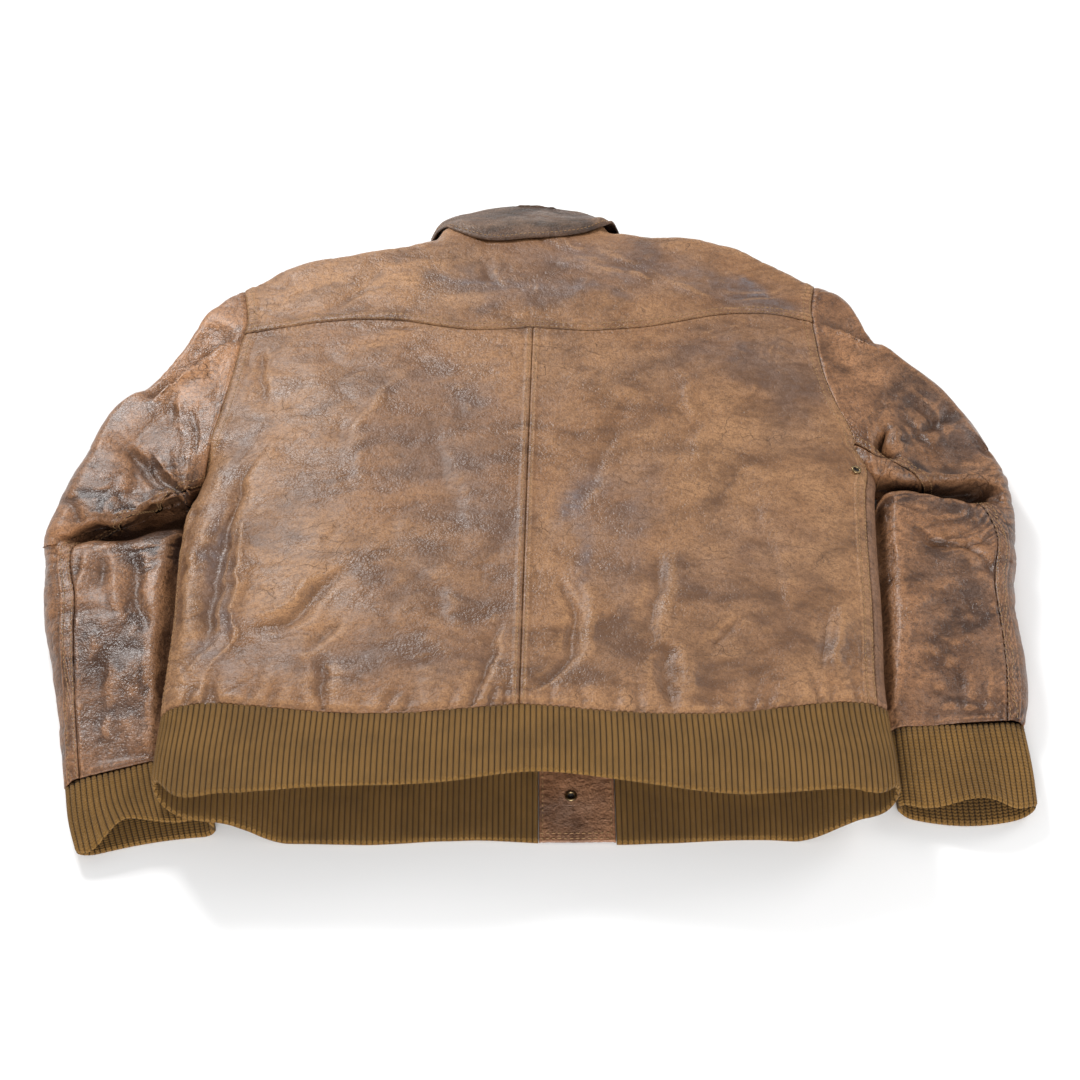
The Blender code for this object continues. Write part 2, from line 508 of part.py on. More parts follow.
def sleeve_point(side, s, w):
    """Outer point of the sleeve: w 0 to 1 across the top, 1 to 2 back under it."""
    w = np.mod(w, 2.0)
    q = np.where(w <= 1, w, 2 - w)
    x, y, z, edge, shape = sleeve_rise(side, s, q)
    low = np.minimum(edge, z) * (1 - shape)
    return np.stack([x, y, np.where(w <= 1, z, low)], -1)


SLEEVE_ENDS = (0.0005, 0.9997)   # stations that leave the gaps at armhole and cuff
SLEEVE_STATIONS = np.array([0, 0.05, 0.11, 0.17, 0.24, 0.31, 0.38, 0.44, 0.47, 0.485, 0.50, 0.515,
                            0.53, 0.57, 0.63, 0.70, 0.78, 0.86, 0.93, 1.0])


def sleeve_panel(side, upper):
    """One of a sleeve's two panels, between the elbow seam on top and the inseam below."""
    seam = curve(ELBOW_SEAM[side], SLEEVE_STATIONS)[:, None]
    half = GAP / 2 / SLEEVE_WIDTH
    if upper:
        edge = np.array([[-0.15, -0.06, -0.015, 0.0, 0.015, 0.06]]) + seam * 0
        w = np.concatenate([INSEAM - 2 + half + seam * 0, edge,
                            lerp(0.12, seam - half, np.linspace(0, 1, 9)[None])], 1)
    else:
        w = np.concatenate([lerp(seam + half, 1.0, np.array([[0, 0.3, 0.55, 0.76, 0.90, 0.97, 1.0]])),
                            np.array([[1.015, 1.06, 1.13, 1.32, 1.52, INSEAM - half]]) + seam * 0], 1)
    s = lerp(*SLEEVE_ENDS, SLEEVE_STATIONS[:, None]) + 0 * w
    return tube_wall(lambda a, b: sleeve_point(side, a, b), s, w, LEATHER, side)


def tube_wall(point, s, w, thick, side):
    """Outer points of a sleeve with the wall's inner points on the same ring."""
    step = 2e-3
    p = point(s, w)
    d = point(s, w + step) - point(s, w - step)
    flat = point(s, w * 0 + 1.0) - point(s, w * 0)
    flat[..., 2] = 0
    flat = flat / np.linalg.norm(flat, axis=-1, keepdims=True)
    across = (d * flat).sum(-1)
    rise = d[..., 2]
    size = np.hypot(across, rise) + 1e-12
    n = np.stack([-rise / size, across / size], -1)
    inner = p - thick * (n[..., :1] * flat + n[..., 1:] * np.array([0, 0, 1.0]))
    inner[..., 2] = np.maximum(inner[..., 2], np.where(np.mod(w, 2.0) <= 1, 2 * thick * 0.9, thick * 0.8))
    return p, inner


def cuff(side):
    """Rib knit cuff: ribs raised over its top, flat below."""
    top = np.linspace(0.012, 0.988, 2 * CUFF_RIBS + 1)
    under = np.array([1.0, 1.02, 1.06, 1.14, 1.3, 1.5, 1.7, 1.86, 1.94, 1.98, 2.0])
    w = np.concatenate([top, under])
    rib = np.concatenate([np.where(np.arange(len(top)) % 2 == 1, CUFF_RISE, 0.0), 0 * under])
    s, w = np.meshgrid(np.array([CUFF_START, 0.4, 0.75, 1.0]), w, indexing="ij")
    rib = np.broadcast_to(rib, s.shape)

    def point(s, w):
        w = np.mod(w, 2.0)
        q = np.where(w <= 1, w, 2 - w)
        row = curve(CUFF[side], s)
        out, inn = row[..., :2], row[..., 2:]
        width = np.linalg.norm(inn - out, axis=-1)
        plan = out + (inn - out) * q[..., None]
        shape = bulge(q * width / OUTER_ROLL) * bulge((1 - q) * width / INNER_ROLL)
        edge = CUFF_HEIGHT / 2
        middle = np.sin(math.pi * q)
        arch = np.where(w <= 1, s**2 * middle * np.exp(-((q - ARCH_AT) / ARCH_HALF) ** 2), 0.0)
        z = np.where(w <= 1, edge + (CUFF_HEIGHT - edge) * shape, edge * (1 - shape))
        z = z + CUFF_ARCH[side] * arch
        y = plan[..., 1] - CUFF_BOW[side] * s * middle ** 0.8 + ARCH_BACK * arch
        return np.stack([plan[..., 0], y, z], -1)

    outer, inner = tube_wall(point, s, w, KNIT, side)
    away = outer - inner
    away /= np.linalg.norm(away, axis=-1, keepdims=True)
    return outer + away * rib[..., None], inner


def waistband():
    """Knit band from one side of the front opening round the back to the other side."""
    def half(side):
        flat = abs(float(side_edge(side, np.array(BAND_MIDDLE)))) - SIDE_ROLL
        flat -= side * float(curve(CENTRE_SEAM, BAND_MIDDLE))
        run = flat + ROLL_RUN
        ribs = int(run / RIB_PITCH)
        at = np.arange(2 * ribs + 1) / (2 * ribs) * run
        k = np.where(at < flat, at / flat, 1 + (at - flat) / ROLL_RUN)
        rib = np.where(np.arange(len(at)) % 2 == 1, RIB_RISE, 0.0)
        plain = np.concatenate([np.linspace(2, 3, 5)[1:], np.linspace(3, 4, 13)[1:]])
        return np.concatenate([k, plain]), np.concatenate([rib, 0 * plain])

    left_out, left_in = (g[:, ::-1] for g in band_half(-1, *half(-1)))
    right_out, right_in = (g[:, 1:] for g in band_half(1, *half(1)))
    return np.concatenate([left_out, right_out], 1), np.concatenate([left_in, right_in], 1)


def band_edge(x, k):
    """Front to back place of the hem edge round the band."""
    return lerp(curve(HEM_TOP, x), curve(HEM_UNDER, x), ease((k - 1) / 2))


def band_half(side, k, rib):
    v = np.array([0.0, 1.0])[:, None]
    k = k[None] + 0 * v

    def x_of_y(y):
        return band_section(side, k, y)[..., 0]

    guess = side * 0.2 + 0 * k
    start = settle(lambda x: rib_seam(x, k) - GAP / 2, x_of_y, guess)
    end = settle(lambda x: band_edge(x, k), x_of_y, guess)
    y = lerp(start, end, v)
    outer, inner = walled(lambda a: band_section(side, a, y), k, KNIT, -side)
    away = outer - inner
    away /= np.linalg.norm(away, axis=-1, keepdims=True)
    return outer + away * (rib * np.ones_like(y))[..., None], inner


def band_section(side, k, y):
    """Section of the band; its front ends stop beside the leather tab."""
    p = section(side, k, y)
    tab = np.clip(k - 3, 0, 1)
    stop = curve(FRONT_EDGE, y) + side * (PLACKET_WIDTH / 2 + GAP)
    foot = side_edge(side, y) - side * SIDE_ROLL
    x = np.where(k > 3, lerp(foot, stop, tab), p[..., 0])
    z = np.where(k > 3, front_height(x, y), p[..., 2])
    return np.stack([x, p[..., 1], z], -1)


def collar():
    """Collar folded over the back neck, its front leaves under the fronts."""
    t = np.array(COLLAR_STEPS, float)
    neck, fold, edge = (curve(rows, t) for rows in (COLLAR_NECK, COLLAR_FOLD, COLLAR_EDGE))
    along = np.gradient(neck + fold, t, axis=0)
    stand = unit(fold - neck)
    up = unit(np.cross(along, stand))
    middle = [neck, lerp(neck, fold, 0.5), fold]
    out = [up, up, up]
    for turn in (45, 90, 135):
        a = math.radians(turn)
        middle.append(fold + COLLAR_TURN * (up * (1 - math.cos(a)) + stand * math.sin(a)))
        out.append(stand * math.sin(a) - up * math.cos(a))
    back = fold + 2 * COLLAR_TURN * up
    face = unit(np.cross(edge - back, along))
    face = face * np.sign((face * up).sum(-1, keepdims=True))
    over = (t > COLLAR_BACK[0]) & (t < COLLAR_BACK[1])
    for share, clear in ((0.0, 0.002), (0.35, 0.0034), (0.7, 0.0026), (1.0, 0.0006)):
        p = lerp(back, edge, share) + face * LEAF_BULGE * math.sin(math.pi * share)
        p[:, 2] = np.maximum(p[:, 2], LEATHER / 2)
        least = back_height(p[:, 0], p[:, 1]) + LEATHER / 2 + clear
        on_yoke = over & (p[:, 1] < curve(TOP_EDGE, p[:, 0]) + LEAF_MARGIN)
        p[:, 2] = np.where(on_yoke, np.maximum(p[:, 2], least), p[:, 2])
        middle.append(p)
        out.append(face)
    out = [-up, -up, -up] + out[3:]
    middle, out = np.stack(middle), np.stack(out)
    return middle + out * LEATHER / 2, middle - out * LEATHER / 2


def placket():
    """Leather strip inside the front opening, ending in the tab between the knit ends."""
    y, u = np.meshgrid(PLACKET_ROWS, np.linspace(-1, 1, 3), indexing="ij")
    x = curve(FRONT_EDGE, y) + u * (PLACKET_WIDTH / 2 - GAP / 2)
    rest = front_height(curve(FRONT_EDGE, y), y + STRIP_AHEAD) + LEATHER + GAP
    low = np.where(y < TAB_STEP, 0.0, rest)
    return np.stack([x, y, rest + LEATHER], -1), np.stack([x, y, low], -1)


def material(name, colour):
    made = bpy.data.materials.new(name)
    made.use_nodes = True
    shader = made.node_tree.nodes["Principled BSDF"]
    shader.inputs["Base Color"].default_value = (*colour, 1)
    shader.inputs["Roughness"].default_value = 0.3 if name.startswith("brass") else 0.55
    shader.inputs["Metallic"].default_value = 1.0 if name.startswith("brass") else 0.0
    made.diffuse_color = (*colour, 1)
    return made


def solid(name, bm, colour):
    """Make the closed mesh an object with outward faces."""
    bmesh.ops.recalc_face_normals(bm, faces=bm.faces)
    if bm.calc_volume(signed=True) < 0:
        bmesh.ops.reverse_faces(bm, faces=bm.faces)
    mesh = bpy.data.meshes.new(name)
    bm.to_mesh(mesh)
    bm.free()
    mesh.polygons.foreach_set("use_smooth", [True] * len(mesh.polygons))
    mesh.set_sharp_from_angle(angle=math.radians(48))
    mesh.materials.append(material(f"{colour}_{name}", COLOURS[colour]))
    made = bpy.data.objects.new(name, mesh)
    bpy.context.scene.collection.objects.link(made)
    return made


def wall(name, grids, colour, ring=False):
    """Closed wall between a grid of outer points and the same grid of inner points."""
    outer, inner = (np.asarray(g) + np.array(SHIFT) for g in grids)
    rows, columns = outer.shape[:2]
    bm = bmesh.new()
    out = [[bm.verts.new(outer[i, j]) for j in range(columns)] for i in range(rows)]
    inn = [[bm.verts.new(inner[i, j]) for j in range(columns)] for i in range(rows)]
    last = columns if ring else columns - 1
    for j in range(last):
        n = (j + 1) % columns
        for i in range(rows - 1):
            bm.faces.new((out[i][j], out[i][n], out[i + 1][n], out[i + 1][j]))
            bm.faces.new((inn[i][j], inn[i + 1][j], inn[i + 1][n], inn[i][n]))
        bm.faces.new((out[0][j], inn[0][j], inn[0][n], out[0][n]))
        bm.faces.new((out[-1][j], out[-1][n], inn[-1][n], inn[-1][j]))
    if not ring:
        for i in range(rows - 1):
            bm.faces.new((out[i][0], out[i + 1][0], inn[i + 1][0], inn[i][0]))
            bm.faces.new((out[i][-1], inn[i][-1], inn[i + 1][-1], out[i + 1][-1]))
    return solid(name, bm, colour)


def turned(name, profile, centre, colour, facets=16, tilt=0.0):
    """Ring turned about the vertical through centre from (radius, height) points, then tilted about Y."""
    bm = bmesh.new()
    lean = math.radians(tilt)
    loops = []
    for i in range(facets):
        a = 2 * math.pi * i / facets
        loop = []
        for r, h in profile:
            x, y = r * math.cos(a), r * math.sin(a)
            loop.append(bm.verts.new((centre[0] + SHIFT[0] + x * math.cos(lean) + h * math.sin(lean),
                                      centre[1] + SHIFT[1] + y,
                                      centre[2] + h * math.cos(lean) - x * math.sin(lean))))
        loops.append(loop)
    n = len(profile)
    for i in range(facets):
        a, b = loops[i], loops[(i + 1) % facets]
        for j in range(n):
            bm.faces.new((a[j], b[j], b[(j + 1) % n], a[(j + 1) % n]))
    return solid(name, bm, colour)


def snap():
    profile = [(0.0018, 0.0), (0.0043, 0.0), (0.0043, 0.0005), (0.0037, 0.0012), (0.0028, 0.0012),
               (0.0022, 0.0004), (0.0018, 0.0003)]
    top = LEATHER + GAP + LEATHER
    return turned("snap", profile, (*SNAP_AT, top + 0.0001), "brass")


def eyelet(side=1):
    """Brass ring lying on the right back panel below the armhole."""
    x, y = EYELET_AT
    here = np.array([x, y])
    sample = [back_surface(side, here[0] + dx, here[1]) for dx in (-EYELET_OUT, 0, EYELET_OUT)]
    tilt = math.degrees(math.atan2(sample[0] - sample[2], 2 * EYELET_OUT))
    profile = [(EYELET_HOLE, 0.0), (EYELET_OUT, 0.0), (EYELET_OUT, 0.0003), (0.0034, 0.0010),
               (EYELET_HOLE, 0.0007)]
    return turned("eyelet", profile, (x, y, sample[1] + 0.0004), "brass", 16, tilt)


def back_surface(side, x, y):
    """Height of the back panel at a place near the side."""
    u = np.linspace(0, 1, 400)
    p = back_grid(side, u, np.full(400, y))[0]
    order = np.argsort(side * p[:, 0])
    return float(np.interp(side * x, side * p[order, 0], p[order, 2]))


def build():
    for old in list(bpy.data.objects):
        bpy.data.objects.remove(old)
    wall("yoke", yoke(), "yoke")
    wall("back_left", back_panel(-1), "back")
    wall("back_right", back_panel(1), "back")
    wall("front_left", front_panel(-1), "front")
    wall("front_right", front_panel(1), "front")
    wall("placket", placket(), "strap")
    wall("collar", collar(), "collar")
    for side, word in ((-1, "left"), (1, "right")):
        wall(f"sleeve_{word}_upper", sleeve_panel(side, True), "sleeve")
        wall(f"sleeve_{word}_under", sleeve_panel(side, False), "sleeve")
        wall(f"cuff_{word}", cuff(side), "knit", ring=True)
    wall("waistband", waistband(), "knit")
    snap()
    eyelet()


build()
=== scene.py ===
"""Worn leather jacket lying face down: the looks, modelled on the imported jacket's own surfaces."""
import math
import random

import bpy
import numpy as np
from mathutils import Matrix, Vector


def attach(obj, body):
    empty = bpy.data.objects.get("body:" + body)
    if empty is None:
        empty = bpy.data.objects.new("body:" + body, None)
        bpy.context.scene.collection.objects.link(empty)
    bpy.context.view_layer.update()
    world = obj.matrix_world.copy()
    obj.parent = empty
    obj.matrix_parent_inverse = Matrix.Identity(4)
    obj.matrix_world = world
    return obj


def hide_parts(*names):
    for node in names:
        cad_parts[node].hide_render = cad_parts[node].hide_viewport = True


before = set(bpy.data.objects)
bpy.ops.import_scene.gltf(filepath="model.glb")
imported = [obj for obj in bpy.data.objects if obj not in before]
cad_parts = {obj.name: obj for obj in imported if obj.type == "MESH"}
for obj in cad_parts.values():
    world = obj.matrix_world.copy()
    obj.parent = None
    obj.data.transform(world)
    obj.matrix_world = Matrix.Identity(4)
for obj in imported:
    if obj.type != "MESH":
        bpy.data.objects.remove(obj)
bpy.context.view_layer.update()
random.seed(11)

SIDES = ((-1, "left"), (1, "right"))

# Walls and gaps, metres
LEATHER = 0.002          # leather wall
KNIT = 0.0032            # doubled knit of waistband and cuffs
GAP = 0.0003             # between pieces that are sewn together
SEAM_CLEAR = 0.0003      # leather edge from the seam line at the waistband
SHIFT = (0.0045, -0.0033, 0.0)   # brings the laid outline over the origin

# Knit
RIB_PITCH = 0.0041       # waistband ribs
BAND_MIDDLE = -0.32      # front to back place of the band's middle
CUFF_RIBS = 25           # ribs over the upper half of a cuff

# Body lying flat
SIDE_ROLL = 0.022        # how far the side edge rolls inward
SHOULDER_ROLL = 0.020
HALF_CHEST = 0.27
SIDE_DROP = 0.013        # the back is lower at the armholes than in its middle
SLEEVE_LIFT = 0.0225     # sides of the front lie over the sleeves
LIFT_RUN = 0.035         # from the underarm down to where the sides are fully lifted
LIFT_FROM = 0.178        # distance from the middle where the sides begin to rise
LIFT_WIDE = 0.052
LEAF_LIFT = 0.0036       # the front lies over the collar's front leaves
LEAF_START = (0.165, 0.185)   # half width and lower end of that raised area
LEAF_RUN = (0.045, 0.030)     # over which it rises
SHOULDER_MID = 0.030     # height of the rolled shoulder edge

CROWN = [(-0.365, 0.0705), (-0.32, 0.0645), (-0.283, 0.0575), (-0.25, 0.0590), (-0.15, 0.0600),
         (0.0, 0.0590), (0.156, 0.0585), (0.25, 0.0570), (0.30, 0.0535), (0.335, 0.0460)]
RIB_SEAM = [(-0.28, -0.2735), (-0.24, -0.2710), (-0.19, -0.2785), (-0.15, -0.2845), (-0.10, -0.2860),
            (-0.012, -0.2790), (0.065, -0.2860), (0.14, -0.2840), (0.175, -0.2775), (0.212, -0.2700),
            (0.26, -0.2685)]
UNDER_SEAM = -0.2720     # the same seam where it runs below
YOKE_SEAM = [(-0.27, 0.1600), (-0.225, 0.1690), (-0.135, 0.1705), (-0.06, 0.1535), (-0.009, 0.1560),
             (0.045, 0.1525), (0.09, 0.1585), (0.18, 0.1840), (0.215, 0.1855), (0.25, 0.1770)]
CENTRE_SEAM = [(-0.283, -0.0151), (-0.197, -0.0135), (-0.134, -0.0124), (-0.007, -0.0099), (0.157, -0.0062)]
FRONT_EDGE = [(-0.283, 0.0265), (0.252, -0.0040)]
TOP_EDGE = [(-0.290, 0.2250), (-0.2762, 0.2376), (-0.2459, 0.2610), (-0.219, 0.2768), (-0.1816, 0.2864),
            (-0.1345, 0.2985), (-0.110, 0.3065), (-0.090, 0.3195), (-0.060, 0.3310), (-0.015, 0.3300),
            (0.030, 0.3330), (0.058, 0.3350), (0.080, 0.3280), (0.112, 0.3205), (0.155, 0.3150),
            (0.1875, 0.3010), (0.21, 0.2816), (0.2364, 0.2610), (0.258, 0.2422), (0.275, 0.2280)]
NECK_CENTRE = -0.016
NECK_HALF = 0.072
FRONT_NECK_DROP = 0.080

ARMHOLE = {
    -1: [(-0.060, -0.2895), (-0.030, -0.2860), (0.0074, -0.2805), (0.0456, -0.2752), (0.092, -0.2707),
         (0.1405, -0.2679), (0.1736, -0.2655), (0.2243, -0.2734), (0.250, -0.2785)],
    1: [(-0.020, 0.2830), (0.004, 0.2790), (0.050, 0.2600), (0.100, 0.2500), (0.155, 0.2472),
        (0.200, 0.2485), (0.255, 0.2600)],
}
SIDE_EDGE = {
    -1: [(-0.37, -0.2700), (-0.325, -0.2741), (-0.2465, -0.2777), (-0.1764, -0.2814), (-0.1119, -0.2862),
         (-0.0664, -0.2880), (-0.0309, -0.2845), (0.03, -0.2760)],
    1: [(-0.37, 0.2500), (-0.325, 0.2540), (-0.2465, 0.2555), (-0.1764, 0.2630), (-0.1119, 0.2687),
        (-0.0429, 0.2755), (-0.0065, 0.2800), (0.02, 0.2690), (0.05, 0.2530)],
}
UNDERARM = {-1: (0.025, -0.028), 1: (0.050, 0.000)}   # where the armhole starts to close, and is closed
SIDE_SEAM = {-1: 2.12, 1: 1.42}      # where the side seam lies round the rolled edge
HEM_TOP = [(-0.275, -0.3300), (-0.2549, -0.3575), (-0.2183, -0.3606), (-0.1633, -0.3581), (-0.0719, -0.3556),
           (0.0, -0.3453), (0.0644, -0.3547), (0.1368, -0.3648), (0.2109, -0.3547), (0.242, -0.3520),
           (0.256, -0.3320)]
HEM_UNDER = [(-0.275, -0.3440), (-0.2479, -0.3550), (-0.1989, -0.3590), (-0.1315, -0.3614),
             (-0.056, -0.3580), (0.0537, -0.3614), (0.1619, -0.3570), (0.2005, -0.3590),
             (0.256, -0.3480)]

# Creases of the back and yoke: rise (+) or fall (-), half width, points
CREASES = [
    (-0.0070, 0.009, [(-0.233, 0.018), (-0.249, -0.067), (-0.251, -0.112), (-0.249, -0.177),
                      (-0.251, -0.217), (-0.268, -0.245)]),
    (0.0030, 0.009, [(-0.276, -0.090), (-0.272, -0.134), (-0.269, -0.197), (-0.270, -0.232)]),
    (0.0035, 0.008, [(-0.236, -0.067), (-0.238, -0.112), (-0.233, -0.177), (-0.232, -0.217),
                     (-0.245, -0.249)]),
    (-0.0045, 0.007, [(-0.223, -0.204), (-0.199, -0.199), (-0.182, -0.182), (-0.165, -0.156),
                      (-0.147, -0.137)]),
    (0.0028, 0.007, [(-0.219, -0.189), (-0.199, -0.184), (-0.181, -0.167), (-0.165, -0.141)]),
    (-0.0030, 0.006, [(-0.147, -0.192), (-0.177, -0.227)]),
    (-0.0035, 0.005, [(-0.163, -0.227), (-0.157, -0.275)]),
    (-0.0040, 0.007, [(-0.026, -0.199), (-0.036, -0.222), (-0.047, -0.256), (-0.052, -0.275)]),
    (-0.0048, 0.006, [(0.016, -0.146), (0.021, -0.178), (0.026, -0.197), (0.024, -0.233), (0.007, -0.256),
                      (-0.007, -0.269)]),
    (0.0028, 0.008, [(0.035, -0.151), (0.038, -0.197), (0.035, -0.232), (0.023, -0.256)]),
    (-0.0050, 0.007, [(0.091, -0.112), (0.090, -0.164), (0.081, -0.202), (0.078, -0.233)]),
    (-0.0042, 0.005, [(0.093, -0.214), (0.091, -0.256), (0.095, -0.280)]),
    (0.0028, 0.007, [(0.104, -0.217), (0.105, -0.256), (0.108, -0.275)]),
    (-0.0030, 0.006, [(0.124, -0.221), (0.149, -0.198)]),
    (0.0030, 0.008, [(0.235, -0.164), (0.217, -0.253)]),
    (-0.0028, 0.006, [(0.224, -0.177), (0.206, -0.253)]),
    (-0.0030, 0.008, [(-0.247, 0.138), (-0.237, 0.057)]),
    (-0.0018, 0.010, [(-0.093, 0.031), (-0.081, -0.043), (-0.055, -0.112)]),
    (-0.0018, 0.010, [(0.067, 0.031), (0.049, -0.031), (0.028, -0.090)]),
    (0.0018, 0.010, [(0.033, 0.255), (0.093, 0.234), (0.147, 0.212), (0.187, 0.197)]),
    (-0.0018, 0.006, [(-0.056, 0.274), (-0.037, 0.212)]),
    (-0.0018, 0.006, [(0.019, 0.290), (0.093, 0.242), (0.137, 0.209)]),
    (-0.0020, 0.009, [(-0.109, -0.134), (-0.076, -0.166), (-0.067, -0.217)]),
    (-0.0020, 0.008, [(0.168, -0.031), (0.186, -0.134), (0.186, -0.217)]),
    (-0.0022, 0.009, [(-0.135, 0.255), (-0.170, 0.215), (-0.190, 0.180)]),
    (0.0020, 0.012, [(-0.120, 0.110), (-0.155, 0.020), (-0.150, -0.060)]),
    (0.0018, 0.012, [(0.120, 0.120), (0.135, 0.030), (0.125, -0.060)]),
]
# Gathers over the knit band: place, depth, reach up the back, lean
GATHERS = [
    (-0.258, 0.0030, 0.020, 0.2), (-0.243, 0.0041, 0.026, 0.1), (-0.236, 0.0030, 0.016, -0.2),
    (-0.214, 0.0024, 0.018, 0.3), (-0.196, 0.0035, 0.024, 0.2), (-0.174, 0.0024, 0.016, 0.0),
    (-0.156, 0.0049, 0.034, -0.1), (-0.130, 0.0024, 0.014, 0.2), (-0.112, 0.0038, 0.026, 0.4),
    (-0.098, 0.0046, 0.022, 0.3), (-0.088, 0.0027, 0.015, -0.1), (-0.066, 0.0027, 0.020, 0.2),
    (-0.050, 0.0043, 0.028, 0.3), (-0.036, 0.0035, 0.018, 0.2), (-0.026, 0.0027, 0.014, 0.1),
    (0.006, 0.0024, 0.018, 0.1), (0.032, 0.0027, 0.020, -0.2), (0.052, 0.0035, 0.022, 0.2),
    (0.072, 0.0046, 0.028, -0.1), (0.084, 0.0032, 0.018, 0.0), (0.096, 0.0046, 0.036, -0.2),
    (0.122, 0.0027, 0.016, 0.2), (0.140, 0.0032, 0.022, 0.0), (0.152, 0.0041, 0.026, 0.2),
    (0.163, 0.0035, 0.020, 0.3), (0.184, 0.0024, 0.016, 0.1), (0.204, 0.0038, 0.026, -0.2),
    (0.212, 0.0027, 0.018, 0.0), (0.232, 0.0032, 0.022, -0.1),
]
GATHER_HALF = 0.0032
GATHER_REACH = 0.030
PUFF = 0.0022            # leather stands above the knit it is gathered onto

# Sleeves: plan of the outer and inner rolled edges from armhole to cuff, with the height between them
SLEEVE_OUTER = {
    -1: [(0.0, (-0.2772, 0.2390)), (0.08, (-0.3040, 0.2090)), (0.16, (-0.3215, 0.1600)),
         (0.24, (-0.3420, 0.1170)), (0.32, (-0.3760, 0.0720)), (0.40, (-0.3890, 0.0060)),
         (0.47, (-0.4035, -0.0560)), (0.50, (-0.4040, -0.0660)), (0.53, (-0.4030, -0.0780)),
         (0.60, (-0.3990, -0.1080)), (0.72, (-0.3880, -0.1640)), (0.86, (-0.3680, -0.2340)),
         (1.0, (-0.3425, -0.3210))],
    1: [(0.0, (0.2595, 0.2440)), (0.08, (0.2850, 0.2250)), (0.16, (0.3010, 0.1800)),
        (0.24, (0.3300, 0.1340)), (0.32, (0.3700, 0.0780)), (0.40, (0.3905, 0.0200)),
        (0.47, (0.3965, -0.0140)), (0.50, (0.3950, -0.0350)), (0.53, (0.3920, -0.0560)),
        (0.60, (0.3860, -0.0860)), (0.72, (0.3785, -0.1420)), (0.86, (0.3715, -0.2080)),
        (1.0, (0.3600, -0.2640))],
}
SLEEVE_INNER = {
    -1: [(0.0, (-0.2880, -0.0330)), (0.24, (-0.2890, -0.0335)), (0.40, (-0.2900, -0.0345)),
         (0.47, (-0.2905, -0.0370)), (0.50, (-0.2908, -0.0500)), (0.53, (-0.2890, -0.0640)),
         (0.60, (-0.2740, -0.0920)), (0.72, (-0.2560, -0.1500)), (0.86, (-0.2480, -0.2220)),
         (1.0, (-0.2455, -0.2905))],
    1: [(0.0, (0.2835, -0.0060)), (0.24, (0.2836, -0.0075)), (0.40, (0.2834, -0.0095)),
        (0.47, (0.2830, -0.0130)), (0.50, (0.2818, -0.0220)), (0.53, (0.2790, -0.0330)),
        (0.60, (0.2640, -0.0660)), (0.72, (0.2470, -0.1340)), (0.86, (0.2440, -0.2080)),
        (1.0, (0.2575, -0.2700))],
}
SLEEVE_HEIGHT = [(0.0, 0.046), (0.16, 0.046), (0.32, 0.044), (0.47, 0.041), (0.53, 0.036), (0.72, 0.034),
                 (0.9, 0.030), (1.0, 0.0225)]
SLEEVE_EDGE = 0.011      # height of the rolled outer edge
SLEEVE_SAG = 0.016       # how far the elbow's middle sags toward the cuff
HEAD_RUN = 0.22          # stations over which the armhole's shape fades into the sleeve
OUTER_ROLL = 0.017
INNER_ROLL = 0.012
FOLD_FLOOR = 0.0075
ELBOW_SEAM = {           # share of the sleeve's width from the outer edge, along the sleeve
    -1: [(0.0, 0.90), (0.24, 0.88), (0.40, 0.72), (0.47, 0.42), (0.53, 0.27), (0.72, 0.20), (1.0, 0.12)],
    1: [(0.0, 0.90), (0.24, 0.88), (0.40, 0.72), (0.47, 0.40), (0.53, 0.22), (0.72, 0.16), (1.0, 0.14)],
}
INSEAM = 1.72            # on the underside
SLEEVE_WIDTH = 0.12
